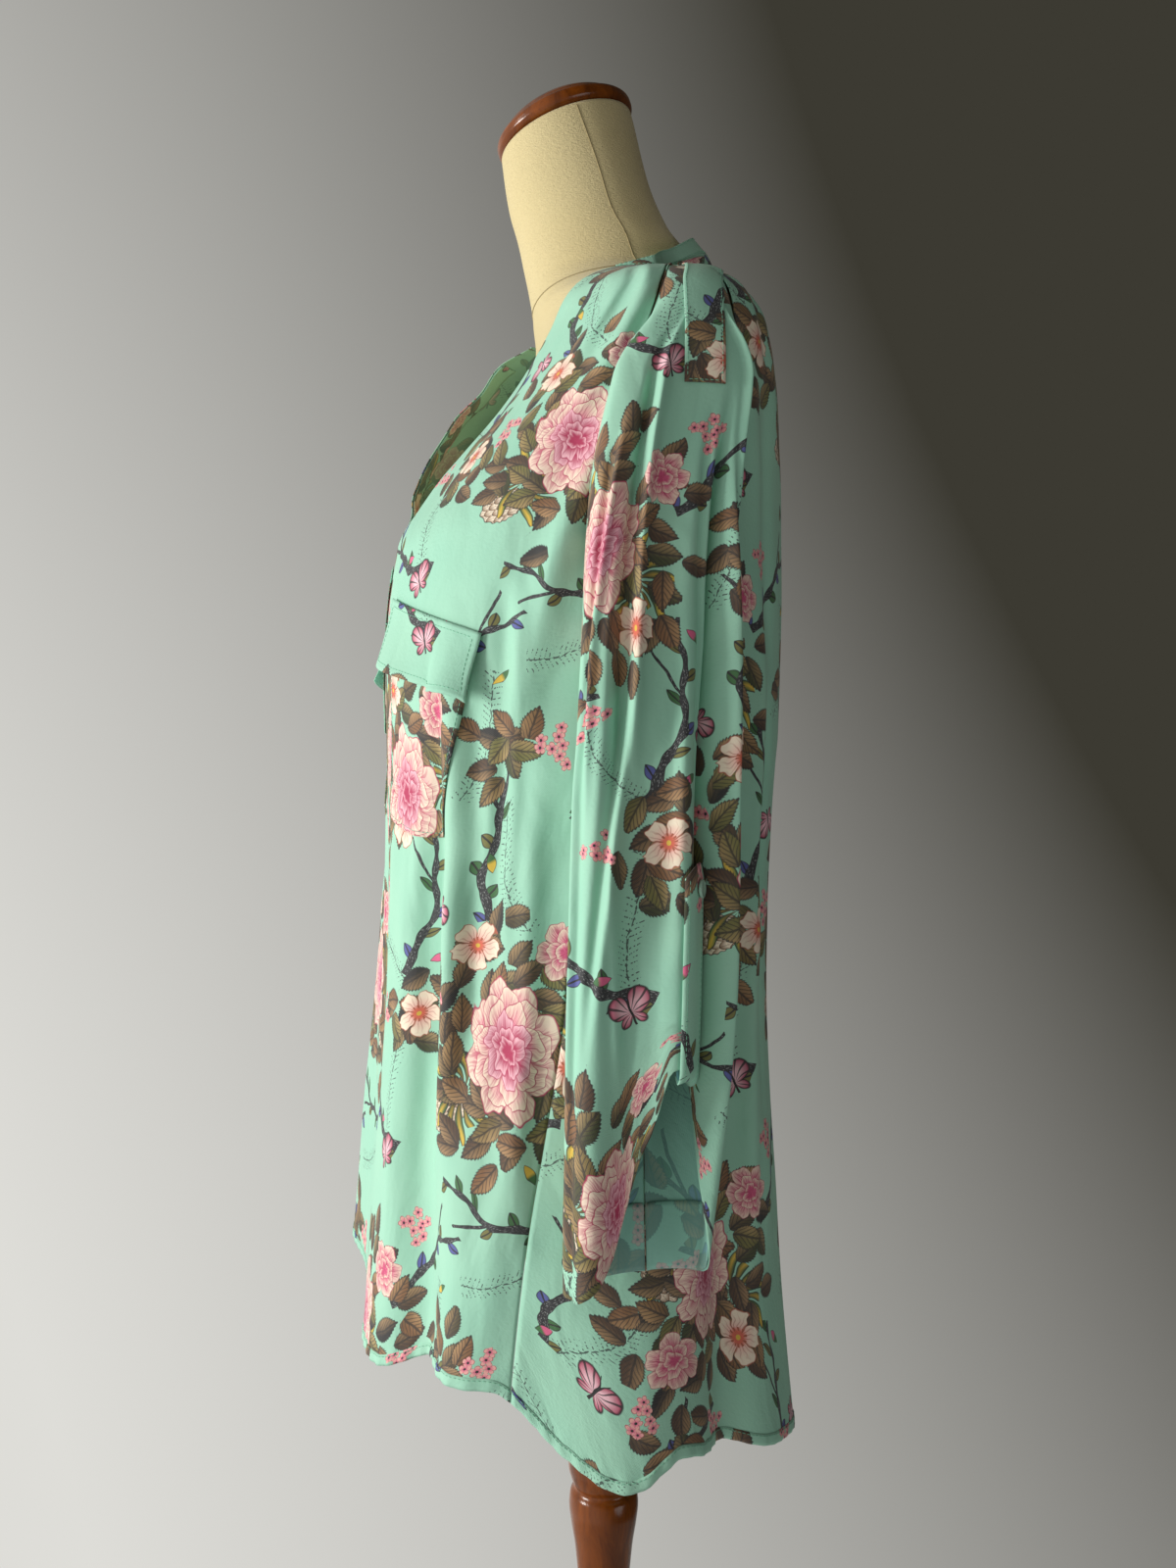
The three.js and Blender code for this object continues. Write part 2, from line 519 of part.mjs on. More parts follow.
const leftSleeve = sleeveGrid();
const front = frontGrid();
const back = backGrid();
add('front', frontPanel(front), COLOURS.cloth);
add('back', wall(back, CLOTH_WALL), COLOURS.cloth);
add('sleeve_left', wall(leftSleeve, CLOTH_WALL), COLOURS.cloth);
add('sleeve_right', wall(flip(leftSleeve), CLOTH_WALL), COLOURS.cloth);

// The outermost cloth at a level, as far as the middle of the back or front: its point for a given y.
function outerPoint(y, z) {
  const [from, to] = [body.frontEnd(z), body.backEnd(z)].map((angle) => bodyPoint(angle, z).y);
  const onSleeve = z < SLEEVE_TOP && y > from && y < to;
  const at = (t) => (onSleeve ? sleevePoint(t, z) : bodyPoint(mix(5, 175, t), z));
  let [low, high] = [0, 1];
  for (let i = 0; i < 30; i += 1) {
    const middle = (low + high) / 2;
    if (at(middle).y < y) low = middle; else high = middle;
  }
  return at((low + high) / 2);
}

// Moves each point of a grid out along the grid's own normals.
function outset(grid, distance) {
  const last = [grid.length - 1, grid[0].length - 1];
  return grid.map((row, r) => row.map((point, c) => {
    const down = grid[Math.min(r + 1, last[0])][c].clone().sub(grid[Math.max(r - 1, 0)][c]);
    const across = row[Math.min(c + 1, last[1])].clone().sub(row[Math.max(c - 1, 0)]);
    return point.clone().addScaledVector(down.cross(across).normalize(), distance);
  }));
}

// A point of a panel's own facets, at a row and column that need not be whole.
function facetPoint(grid, row, column) {
  const r = clamp(Math.floor(row), 0, grid.length - 2);
  const c = clamp(Math.floor(column), 0, grid[0].length - 2);
  const [u, v] = [row - r, column - c];
  const corner = (dr, dc) => grid[r + dr][c + dc].clone();
  const start = corner(0, 0);
  const far = corner(1, 1).sub(start);
  const near = (u > v ? corner(1, 0) : corner(0, 1)).sub(start);
  return u > v
    ? start.addScaledVector(near, u - v).addScaledVector(far, v)
    : start.addScaledVector(near, v - u).addScaledVector(far, u);
}

// Where an angle and height lie on the front panel's facets.
function onFront(angle, z) {
  let r = 0;
  while (r < frontLevels.length + BODY_LEVELS.length - 2 && frontRowLevels[r + 1] > z) r += 1;
  const share = (frontRowLevels[r] - z) / (frontRowLevels[r] - frontRowLevels[r + 1]);
  const spans = [0, 1].map((step) => frontSpan(Math.sign(angle) || 1, frontRowLevels[r + step]));
  const [start, end] = [mix(spans[0][0], spans[1][0], share), mix(spans[0][1], spans[1][1], share)];
  const middle = FRONT_COLUMNS - 0.5;
  const size = Math.abs(angle);
  const past = ((size - start) / (end - start)) * (FRONT_COLUMNS - 1);
  const away = size < start ? (size / start) * 0.5 : 0.5 + past;
  return facetPoint(front, r + share, middle + Math.sign(angle) * away);
}

// A patch laid on the front between four corners, each an angle and a height, with rows going down.
function frontPatch(corners, rows, columns, sag = () => 0) {
  return Array.from({ length: rows + 1 }, (_, r) => Array.from({ length: columns + 1 }, (__, c) => {
    const [u, v] = [r / rows, c / columns];
    const angle = mix(mix(corners[0][0], corners[1][0], v), mix(corners[2][0], corners[3][0], v), u);
    const z = mix(mix(corners[0][1], corners[1][1], v), mix(corners[2][1], corners[3][1], v), u);
    return onFront(angle, z + sag(u, v));
  }));
}

// Chest pockets and their flaps. The flap's lower edge stands off the pocket.
const POCKET_CORNERS = [[18, 1166], [53, 1132], [16.5, 1026], [43, 1010]];
const POCKET_POINT = -7;
const FLAP_CORNERS = [[17.5, 1173], [54.5, 1138], [17.5, 1126], [52, 1095]];
const FLAP_STAND = 9;
const POCKET_ROWS = 7;
const POCKET_COLUMNS = 13;
const pocketSag = (u, v) => POCKET_POINT * u ** 4 * Math.sin(Math.PI * v);
const pocket = frontPatch(POCKET_CORNERS, POCKET_ROWS, POCKET_COLUMNS, pocketSag);
const flap = frontPatch(FLAP_CORNERS, 5, 8);
const swapped = (corners) => [corners[1], corners[0], corners[3], corners[2]].map(([a, z]) => [-a, z]);
const rightPocket = frontPatch(swapped(POCKET_CORNERS), POCKET_ROWS, POCKET_COLUMNS, pocketSag);
const rightFlap = frontPatch(swapped(FLAP_CORNERS), 5, 8);
const POCKET_LIFT = { left: CLOTH_WALL + LAY_GAP + 0.5, right: CLOTH_WALL + LAY_GAP + 1.2 };
function flapGrid(grid, pocketLift) {
  const lift = pocketLift + CLOTH_WALL + LAY_GAP;
  const low = outset(grid, lift);
  const high = outset(grid, lift + FLAP_STAND);
  const swing = (r) => (r / (low.length - 1)) ** 1.5;
  return low.map((row, r) => row.map((point, c) => point.clone().lerp(high[r][c], swing(r))));
}
add('pocket_left', wall(outset(pocket, POCKET_LIFT.left), CLOTH_WALL), COLOURS.band);
add('pocket_right', wall(outset(rightPocket, POCKET_LIFT.right), CLOTH_WALL), COLOURS.band);
add('pocket_flap_left', wall(flapGrid(flap, POCKET_LIFT.left), CLOTH_WALL), COLOURS.band);
add('pocket_flap_right', wall(flapGrid(rightFlap, POCKET_LIFT.right), CLOTH_WALL), COLOURS.band);

// The placket below the V.
const placketAngle = (PLACKET_WIDTH / 2 / body.half(1150)) / radians;
const placket = frontPatch([[-placketAngle, PLACKET_TOP - 10], [placketAngle, PLACKET_TOP - 10],
  [-placketAngle, PLACKET_BOTTOM], [placketAngle, PLACKET_BOTTOM]], 6, 4);
add('placket', wall(outset(placket, POCKET_LIFT.left), CLOTH_WALL), COLOURS.band);

// The neck edge's facings, inside the front along both sides of the V.
function facing(side) {
  const top = frontLevels.indexOf(side > 0 ? 1373 : 1389);
  const grid = frontLevels.slice(top, frontLevels.indexOf(V_BOTTOM_HEIGHT) + 1).map((z) => {
    const [start, end] = frontSpan(side, z);
    const wide = Math.min(FACING_WIDTH / body.half(z) / radians, (end - start) * 0.9);
    return [0.1, 0.5, 1].map((share) => onFront(side * (start + wide * share), z));
  });
  const outward = side > 0 ? grid : grid.map((row) => [...row].reverse());
  return outset(outward, -(CLOTH_WALL + LAY_GAP * 2));
}
add('neck_facing_left', wall(facing(1), FACING_WALL), COLOURS.facing);
add('neck_facing_right', wall(facing(-1), FACING_WALL), COLOURS.facing);

// The stand band: it rises from the neck edge of the back and of the front's shoulders, and dies away at
// both ends where the V begins. Points of the edge that lie close together count once.
const SHORTEST_STEP = 2.5;
function collarGrid() {
  const thirds = (row) => row.filter((_, i) => i % 3 === 0);
  const left = [...thirds(front[0].slice(FRONT_COLUMNS)), back[BACK_NECK_LEVELS.length][0]];
  const right = [back[BACK_NECK_LEVELS.length][back[0].length - 1],
    ...thirds(front[0].slice(0, FRONT_COLUMNS))];
  const rise = back.slice(1, BACK_NECK_LEVELS.length).reverse();
  const fall = [...rise].reverse();
  const edge = [...left, ...rise.map((row) => row[0]), ...back[0], ...fall.map((row) => row[row.length - 1]),
    ...right];
  const path = [edge[0]];
  edge.forEach((point) => {
    if (point.distanceTo(path[path.length - 1]) > SHORTEST_STEP) path.push(point);
  });
  const lengths = path.map((point, i) => (i ? point.distanceTo(path[i - 1]) : 0));
  const total = lengths.reduce((a, b) => a + b, 0);
  let gone = 0;
  const columns = path.map((point, i) => {
    gone += lengths[i];
    const height = NECK_BAND_WIDTH * ease(Math.min(gone, total - gone) / 60 + 0.12);
    const inwards = new THREE.Vector3(-point.x, 8 - point.y, 0).normalize();
    const lean = 0.28 + 0.36 * Math.max(0, -inwards.y) ** 2;
    const up = inwards.multiplyScalar(lean).add(new THREE.Vector3(0, 0, 0.8));
    return [1, 0.5, 0].map((share) => point.clone().addScaledVector(up, 0.8 + height * share));
  });
  return [0, 1, 2].map((r) => columns.map((column) => column[r]));
}
add('collar_band', wall(collarGrid(), CLOTH_WALL), COLOURS.band);

// The strip along each shoulder, from the neck over the tip and down the head of the sleeve.
const STRIP_LEVELS = [1401, 1397, 1389, 1380, 1376, 1371, 1364, 1352, 1335, 1310, 1283];
const STRIP_GAP = 1.1;
const STRIP_OFFSETS = [-0.5, -0.4, -0.2, 0, 0.2, 0.4, 0.5];
const strip = STRIP_LEVELS.map((z) => STRIP_OFFSETS.map((offset) => (
  outerPoint(body.side(Math.max(z, 1352)) + offset * SHOULDER_STRIP_WIDTH, z))));
const laidStrip = outset(strip, CLOTH_WALL + STRIP_GAP);
add('shoulder_strip_left', wall(laidStrip, CLOTH_WALL), COLOURS.band);
add('shoulder_strip_right', wall(flip(laidStrip), CLOTH_WALL), COLOURS.band);

// The roll tab: down the outside of the sleeve, round under the raised cuff and up again inside.
const TAB_COLUMNS = [10.6, 11, 11.5, 12];
const TAB_OUTSIDE = [990, 965, 935];
const TAB_INSIDE = 935;
const TAB_POINT = 9;
const CUFF_ROW = SLEEVE_LEVELS.length - 1 + CUFF_SHARES.length;
function tabGrid() {
  const rowOf = (z) => {
    const r = SLEEVE_LEVELS.findIndex((level) => level <= z);
    return r - (z - SLEEVE_LEVELS[r]) / (SLEEVE_LEVELS[r - 1] - SLEEVE_LEVELS[r]);
  };
  const across = (row, point = 0) => TAB_COLUMNS.map((column, c) => {
    const rise = point * Math.sin((Math.PI * c) / (TAB_COLUMNS.length - 1));
    return facetPoint(leftSleeve, row - rise / 50, column);
  });
  const outerRows = [...TAB_OUTSIDE.map((z, i) => across(rowOf(z), i ? 0 : TAB_POINT)),
    ...[CUFF_ROW - 4, CUFF_ROW - 2, CUFF_ROW].map((row) => across(row))];
  const innerRows = [CUFF_ROW, CUFF_ROW - 2, CUFF_ROW - 4, rowOf(TAB_INSIDE)].map((row) => across(row));
  const outer = outset(outerRows, CLOTH_WALL + LAY_GAP * 2);
  const inner = outset([...innerRows].reverse(), -(CLOTH_WALL * 2 + LAY_GAP * 2)).reverse();
  const hemOuter = outer[outer.length - 1];
  const shifted = (share, down) => hemOuter.map((point, c) => (
    point.clone().lerp(inner[0][c], share).add(new THREE.Vector3(0, 0, -down))));
  return [...outer, shifted(0, 5), shifted(0.5, 9), shifted(1, 5), ...inner];
}
const tab = tabGrid();
add('sleeve_tab_left', wall(tab, CLOTH_WALL), COLOURS.band);
add('sleeve_tab_right', wall(flip(tab), CLOTH_WALL), COLOURS.band);

// The tab's button, on the pointed end.
function buttonGeometry() {
  const geometry = turned([{ r: BUTTON_RADIUS - 0.8, z: 0 }, { r: BUTTON_RADIUS, z: 0.7 },
    { r: BUTTON_RADIUS, z: BUTTON_THICKNESS - 0.6 }, { r: BUTTON_RADIUS - 1, z: BUTTON_THICKNESS }], 16);
  const [a, b, c] = [tab[0][1], tab[1][1], tab[1][2]];
  const away = b.clone().sub(a).cross(c.clone().sub(b)).normalize();
  const seat = a.clone().lerp(tab[1][2], 0.5).addScaledVector(away, LAY_GAP + 0.2);
  geometry.applyQuaternion(new THREE.Quaternion().setFromUnitVectors(new THREE.Vector3(0, 0, 1), away));
  geometry.translate(seat.x, seat.y, seat.z);
  return geometry;
}

// The dress form: level rings that tip forward up the neck, closed by a flat disc at each end.
function formGeometry() {
  const top = FORM[FORM.length - 1];
  const positions = [];
  const faces = [];
  const ring = (row) => {
    const tip = ease((row.z - TILT_STARTS) / (top.z - TILT_STARTS)) * Math.tan(NECK_TILT * radians);
    for (let i = 0; i < FORM_STEPS; i += 1) {
      const turn = (i / FORM_STEPS) * 2 * Math.PI;
      const c = Math.cos(turn);
      const depth = c > 0 ? row.side - row.front : row.back - row.side;
      const y = row.side - depth * c;
      positions.push(row.half * Math.sin(turn), y, row.z + (y - row.side) * tip);
    }
  };
  FORM.forEach(ring);
  for (let r = 0; r < FORM.length - 1; r += 1) {
    for (let i = 0; i < FORM_STEPS; i += 1) {
      const next = (i + 1) % FORM_STEPS;
      const [a, b] = [r * FORM_STEPS + i, r * FORM_STEPS + next];
      faces.push(a, b, b + FORM_STEPS, a, b + FORM_STEPS, a + FORM_STEPS);
    }
  }
  const first = FORM[0];
  const bottomCentre = positions.length / 3;
  positions.push(0, first.side, first.z, 0, top.side, top.z);
  const last = (FORM.length - 1) * FORM_STEPS;
  for (let i = 0; i < FORM_STEPS; i += 1) {
    const next = (i + 1) % FORM_STEPS;
    faces.push(bottomCentre, next, i, bottomCentre + 1, last + i, last + next);
  }
  const geometry = new THREE.BufferGeometry();
  geometry.setAttribute('position', new THREE.Float32BufferAttribute(positions, 3));
  geometry.setIndex(faces);
  return geometry;
}

// A turned solid about its own upright axis, from rows of radius and height.
function turned(rows, steps) {
  const profile = [new THREE.Vector2(0, rows[0].z), ...rows.map(({ r, z }) => new THREE.Vector2(r, z)),
    new THREE.Vector2(0, rows[rows.length - 1].z)];
  const geometry = new THREE.LatheGeometry(profile, steps);
  geometry.rotateX(Math.PI / 2);
  return geometry;
}

const button = buttonGeometry();
const otherButton = button.clone().applyMatrix4(new THREE.Matrix4().makeScale(-1, 1, 1));
const order = otherButton.index.array;
for (let i = 0; i < order.length; i += 3) [order[i], order[i + 1]] = [order[i + 1], order[i]];
add('tab_button_left', button, COLOURS.button, 0.4);
add('tab_button_right', otherButton, COLOURS.button, 0.4);
add('form', formGeometry(), COLOURS.form, 0.9);
const cap = add('neck_cap', turned(CAP, 32), COLOURS.wood, 0.35);
const neckTop = FORM[FORM.length - 1];
cap.position.set(0, neckTop.side, neckTop.z);
cap.rotation.x = NECK_TILT * radians;
add('post', turned(POST, 28), COLOURS.wood, 0.35);
const foot = [{ r: FOOT_RADIUS - 3, z: 0 }, { r: FOOT_RADIUS, z: 4 }, { r: FOOT_RADIUS, z: 14 },
  { r: FOOT_RADIUS - 8, z: 20 }, { r: FOOT_RADIUS - 30, z: 25 }, { r: 60, z: FOOT_HEIGHT }];
add('foot', turned(foot, 48), COLOURS.wood, 0.35);

export default blouse;
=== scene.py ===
"""A printed tunic blouse on a limbless dress form, seen from the wearer's left.

The blouse's cloth is laid as thin double-faced sheets over the same sections as the solids, with finer folds,
seams, hems and stitching. Lengths in the tables are millimetres; Blender gets metres.
"""
import math
from functools import partialmethod

import bpy
import numpy as np
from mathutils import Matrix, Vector


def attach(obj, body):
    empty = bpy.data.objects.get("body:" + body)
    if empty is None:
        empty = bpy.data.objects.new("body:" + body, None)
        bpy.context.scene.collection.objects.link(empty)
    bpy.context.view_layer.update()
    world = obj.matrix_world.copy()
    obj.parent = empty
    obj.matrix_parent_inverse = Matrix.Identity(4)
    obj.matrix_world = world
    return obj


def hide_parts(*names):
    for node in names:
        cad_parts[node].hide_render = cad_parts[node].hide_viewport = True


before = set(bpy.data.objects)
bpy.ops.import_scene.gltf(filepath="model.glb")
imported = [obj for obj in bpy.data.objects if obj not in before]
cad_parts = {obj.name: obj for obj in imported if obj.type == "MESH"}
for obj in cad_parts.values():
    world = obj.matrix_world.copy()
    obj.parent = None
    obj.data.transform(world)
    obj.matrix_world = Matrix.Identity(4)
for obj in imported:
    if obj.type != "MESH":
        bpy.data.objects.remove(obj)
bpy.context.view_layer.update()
MM = 0.001

# Camera
CAMERA_AZIMUTH = 82.0
CAMERA_DISTANCE = 904.0
CAMERA_SHIFT = -12.0
CAMERA_HEIGHT = 1044.0
CAMERA_LENS = 27.05

azimuth = math.radians(CAMERA_AZIMUTH)
back = Vector((math.sin(azimuth), -math.cos(azimuth), 0.0))
right = Vector((math.cos(azimuth), math.sin(azimuth), 0.0))
camera = bpy.data.objects.new("camera", bpy.data.cameras.new("camera"))
camera.data.lens = CAMERA_LENS
camera.location = (back * CAMERA_DISTANCE + right * CAMERA_SHIFT + Vector((0, 0, CAMERA_HEIGHT))) * MM
camera.rotation_mode = "QUATERNION"
camera.rotation_quaternion = (-back).to_track_quat("-Z", "Y")
bpy.context.collection.objects.link(camera)
bpy.context.scene.camera = camera
bpy.context.scene.view_settings.view_transform = "Standard"

# Sizes
CLOTH = 0.7
UNDERARM = 1120.0
FOLDS_FULL = 600.0
TIP_STARTS = 1290.0
TIP_FADE = 60.0
V_BOTTOM = 1206.0
PLACKET_WIDTH = 24.0
PLACKET_TOP = 1204.0
PLACKET_BOTTOM = 1082.0
NECK_BAND_WIDTH = 16.0
STRIP_WIDTH = 25.0
STRIP_RISE = 17.0
STRIP_RISE_FROM = 1389.0
FACING_WIDTH = 20.0
SEAM_GAP = 0.3
FACE_GAP = 1.0
TIP_GAP = 2.2
PLACKET_STAND = 1.3
FACING_SINK = 1.3
STRIP_STAND = 1.6
FLAP_GAP = 1.6
SLEEVE_TOP = 1377.0
RIDGE = 1397.0
SHOULDER_NECK = 1402.0

# The blouse's body by level: half width, front and back depth, the y of its widest point, how square its
# outline is, and the angles from the centre front where its front and back panels end.
BODY_NAMES = ("z", "half", "front", "back", "side", "square", "front_end", "back_end")
BODY = (
    (1450, 65, -61, 77, 5, 1, 90, 90),
    (1437, 66, -59, 84, 10, 1, 90, 90),
    (1420, 69.5, -58, 89, 16, 1, 90, 90),
    (1410, 79, -57, 91, 19.5, 1, 90, 90),
    (1402, 96, -57, 92, 22, 1, 90, 90),
    (1397, 107, -57, 94, 23.5, 1, 90, 90),
    (1389, 126, -57, 94, 26, 1, 90, 90),
    (1381, 144, -57, 97, 28, 1, 86, 94),
    (1373, 160, -57, 101.5, 29, 1, 81, 99),
    (1364, 172, -58, 107.5, 30, 1, 78, 102),
    (1352, 180, -62, 115, 29.5, 1, 76, 105),
    (1335, 184.5, -70, 119, 27, 1, 75, 107),
    (1310, 186, -84, 122, 22, 0.98, 74, 108),
    (1280, 186, -106, 123.5, 16, 0.96, 74, 108),
    (1245, 185.5, -133, 125, 10, 0.94, 75, 107),
    (1206, 185, -157, 125, 6, 0.92, 77, 104),
    (1165, 185, -163, 124.5, 4, 0.9, 80, 98),
    (1120, 186, -165, 123, 2, 0.9, 87, 87),
    (1070, 188, -164, 120.5, 0, 0.9, 84, 84),
    (1015, 191, -164, 116, -3, 0.9, 80, 80),
    (960, 196, -165, 112, -6, 0.9, 77, 77),
    (900, 202, -167, 110, -8, 0.91, 75, 75),
    (840, 208.5, -171, 111.5, -10, 0.92, 72, 72),
    (780, 215, -176, 114.5, -12, 0.93, 69, 69),
    (700, 223, -182, 119, -14, 0.95, 66, 66),
    (570, 236, -190, 130, -16, 0.95, 64, 64),
)
FRONT_NECK_NAMES = ("z", "left", "right", "stand")
FRONT_NECK = (
    (1402, 90, 72, 20),
    (1397, 91.5, 73, 24),
    (1385, 90, 73, 33),
    (1365, 82, 70, 39),
    (1337, 67, 61, 49),
    (1311, 55, 53, 48),
    (1272, 41, 41, 35),
    (1250, 32, 32, 19),
    (1231, 25, 25, 12),
    (1206, 12, 12, 1),
    (1180, 10, 10, 0),
)
NECK_STAND_SPREAD = 32.0
BACK_NECK_NAMES = ("z", "angle")
BACK_NECK = ((1446, 174), (1443, 156), (1437, 141), (1428, 126), (1418, 112), (1409, 100), (1402, 90.4))
HEM_NAMES = ("angle", "z")
HEM = (
    (0, 658), (27, 664), (45, 684), (64, 688), (80, 656), (91, 641), (102, 655), (110, 648),
    (128, 632), (143, 617), (158, 603), (180, 592),
)
# Hanging folds: angle at the top and at the hem, half width, the height that each starts from and its lift.
HANGING_FOLDS = (
    (0, 1, 9, 1080, -14),
    (24, 27, 8, 1190, 3),
    (39, 41, 7, 1150, -18),
    (54, 54, 8, 1100, 12),
    (72, 72, 8, 760, -7),
    (90, 92, 12, 760, 9),
    (116, 118, 9, 1000, -24),
    (142, 151, 9, 1250, 4),
    (162, 167, 6, 1150, -8),
    (178, 176, 9, 1200, 8),
    (-160, -158, 7, 1120, -12),
    (-140, -138, 9, 1240, 11),
    (-119, -116, 9, 1010, -20),
    (-92, -93, 13, 770, 9),
    (-74, -75, 7, 770, -8),
    (-56, -58, 9, 1110, 11),
    (-42, -43, 7, 1140, -15),
    (-25, -30, 10, 1240, 41),
)
# Gathers from the shoulder seam: angle at the top and at the end, half width, height of the end and lift.
SHOULDER_GATHERS = (
    (84, 66, 4, 1130, 6),
    (74, 55, 4, 1180, 4.5),
    (63, 43, 4.5, 1230, 3.5),
    (98, 118, 4, 1120, 6),
    (108, 131, 4.5, 1170, 4.5),
    (121, 146, 5, 1220, 3.5),
)
# Fine creases that the solids leave out: angle and height where each starts and ends, half width and lift.
CREASES = (
    (80, 1392, 63, 1290, 3.2, 3.7),
    (76, 1392, 56, 1270, 2.6, 3.1),
    (70, 1394, 50, 1310, 2.6, 2.5),
    (86, 1372, 74, 1230, 3.0, 4.4),
    (82, 1340, 66, 1120, 3.4, 4.1),
    (78, 1250, 58, 1010, 4.0, 4.1),
    (40, 1150, 41, 800, 2.6, -5.0),
    (33, 1040, 34, 730, 2.6, 5.0),
    (64, 1180, 60, 900, 2.4, 5.0),
    (58, 1180, 66, 1000, 3.0, -3.4),
    (62, 1100, 52, 840, 4.0, -5.1),
    (48, 1010, 44, 760, 3.6, 4.2),
    (34, 1000, 34, 720, 3.4, -5.1),
    (20, 1060, 22, 800, 3.6, 3.4),
    (66, 900, 60, 700, 3.4, 4.4),
    (84, 1120, 78, 860, 4.0, 4.4),
    (96, 1020, 104, 700, 4.0, 5.1),
    (104, 1340, 112, 1180, 3.6, 4.1),
    (112, 1392, 126, 1290, 3.2, 3.7),
    (102, 1392, 114, 1280, 2.8, 3.1),
    (128, 1300, 134, 1100, 4.0, -4.1),
    (132, 1000, 138, 720, 4.4, 5.8),
    (150, 1080, 156, 760, 4.2, -5.4),
    (168, 1250, 172, 900, 4.4, 4.1),
    (-170, 1180, -172, 800, 4.2, 4.4),
    (-150, 1050, -153, 740, 4.2, 5.1),
    (-130, 1280, -135, 1040, 4.2, -4.1),
    (-104, 1330, -112, 1160, 3.8, 4.1),
    (-100, 1000, -104, 720, 4.2, 5.1),
    (-82, 1120, -80, 820, 4.0, 4.4),
    (-70, 1392, -52, 1300, 2.8, 2.7),
    (-80, 1390, -62, 1260, 3.0, 3.4),
    (-66, 900, -62, 720, 3.6, 4.4),
    (-48, 1000, -49, 760, 3.4, -4.4),
    (-14, 1080, -12, 760, 3.8, 4.1),
    (46, 1160, 47, 740, 4.6, 6.5),
    (52, 1120, 53, 800, 3.4, -6.0),
    (29, 1010, 30, 700, 4.4, 5.0),
    (68, 1060, 66, 720, 3.0, 5.0),
    (60, 1090, 59, 860, 2.8, -4.5),
    (-46, 1150, -47, 760, 4.6, 6.0),
    (-54, 1110, -55, 800, 3.4, -5.5),
    (-28, 1000, -30, 700, 4.4, 4.0),
    (127, 1190, 129, 680, 3.6, 6.5),
    (134, 1120, 136, 780, 2.6, -6.0),
    (-126, 1190, -129, 690, 3.6, 6.0),
    (-135, 1140, -138, 800, 3.0, -5.5),
)
SLEEVE_NAMES = ("z", "out", "front", "back", "open")
SLEEVE = (
    (1377, 152.5, 21.8, 34, 87),
    (1373, 161, 17.5, 38.5, 85),
    (1364, 175, 12.5, 44.5, 81),
    (1352, 187, 4, 51.5, 74),
    (1335, 196, -8, 58, 62),
    (1310, 203, -19, 63, 46),
    (1280, 208, -26, 60, 42),
    (1245, 212, -33, 54, 38),
    (1206, 216, -38, 49, 30),
    (1165, 219, -42, 46, 18),
    (1120, 223, -45, 44, 0),
    (1070, 227, -48, 42, 0),
    (1015, 232, -51, 40, 0),
    (960, 237, -54, 38, 0),
    (900, 243, -57, 35, 0),
    (840, 249, -59, 30, 0),
    (740, 256, -60, 16, 0),
)
CUFF_NAMES = ("share", "z")
CUFF = (
    (0, 762), (0.14, 758), (0.34, 757), (0.42, 764), (0.46, 780), (0.485, 812), (0.505, 852), (0.525, 883),
    (0.55, 885), (0.585, 882), (0.615, 864), (0.64, 816), (0.665, 788), (0.71, 770), (0.8, 764), (1, 762),
)
STRIP_MIDDLE_NAMES = ("z", "y")
STRIP_MIDDLE = ((1416, 55), (1401, 51), (1389, 46), (1376, 41), (1364, 36.5), (1352, 33), (1283, 29))
# The sleeve's folds: share of the way round, half width, the height that each starts from and its lift.
SLEEVE_FOLDS = (
    (0.4, 0.05, 1330, 3.5),
    (0.47, 0.035, 1340, -6),
    (0.535, 0.035, 1200, 6),
    (0.605, 0.04, 1240, -15),
    (0.68, 0.045, 1300, 6),
    (0.3, 0.04, 1150, -5),
)
# Its fine creases: share and height where each starts and ends, half width and lift.
SLEEVE_CREASES = (
    (0.455, 1335, 0.475, 1000, 0.013, 8.0),
    (0.42, 1325, 0.43, 1010, 0.016, -8.0),
    (0.365, 1270, 0.335, 1000, 0.018, 5.0),
    (0.315, 1250, 0.29, 1020, 0.020, -4.5),
    (0.50, 1210, 0.395, 880, 0.016, 5.5),
    (0.46, 1150, 0.365, 870, 0.020, -5.0),
    (0.70, 1352, 0.74, 1160, 0.018, 6.0),
    (0.76, 1335, 0.79, 1130, 0.020, -6.0),
    (0.57, 1278, 0.58, 1010, 0.014, -4.0),
    (0.63, 1290, 0.64, 800, 0.021, -18.0),
    (0.685, 1260, 0.69, 790, 0.018, 9.0),
    (0.52, 1130, 0.505, 925, 0.011, -3.5),
    (0.26, 1090, 0.29, 800, 0.020, 4.5),
    (0.20, 1010, 0.23, 790, 0.020, -4.0),
    (0.43, 1010, 0.465, 850, 0.012, 3.5),
)
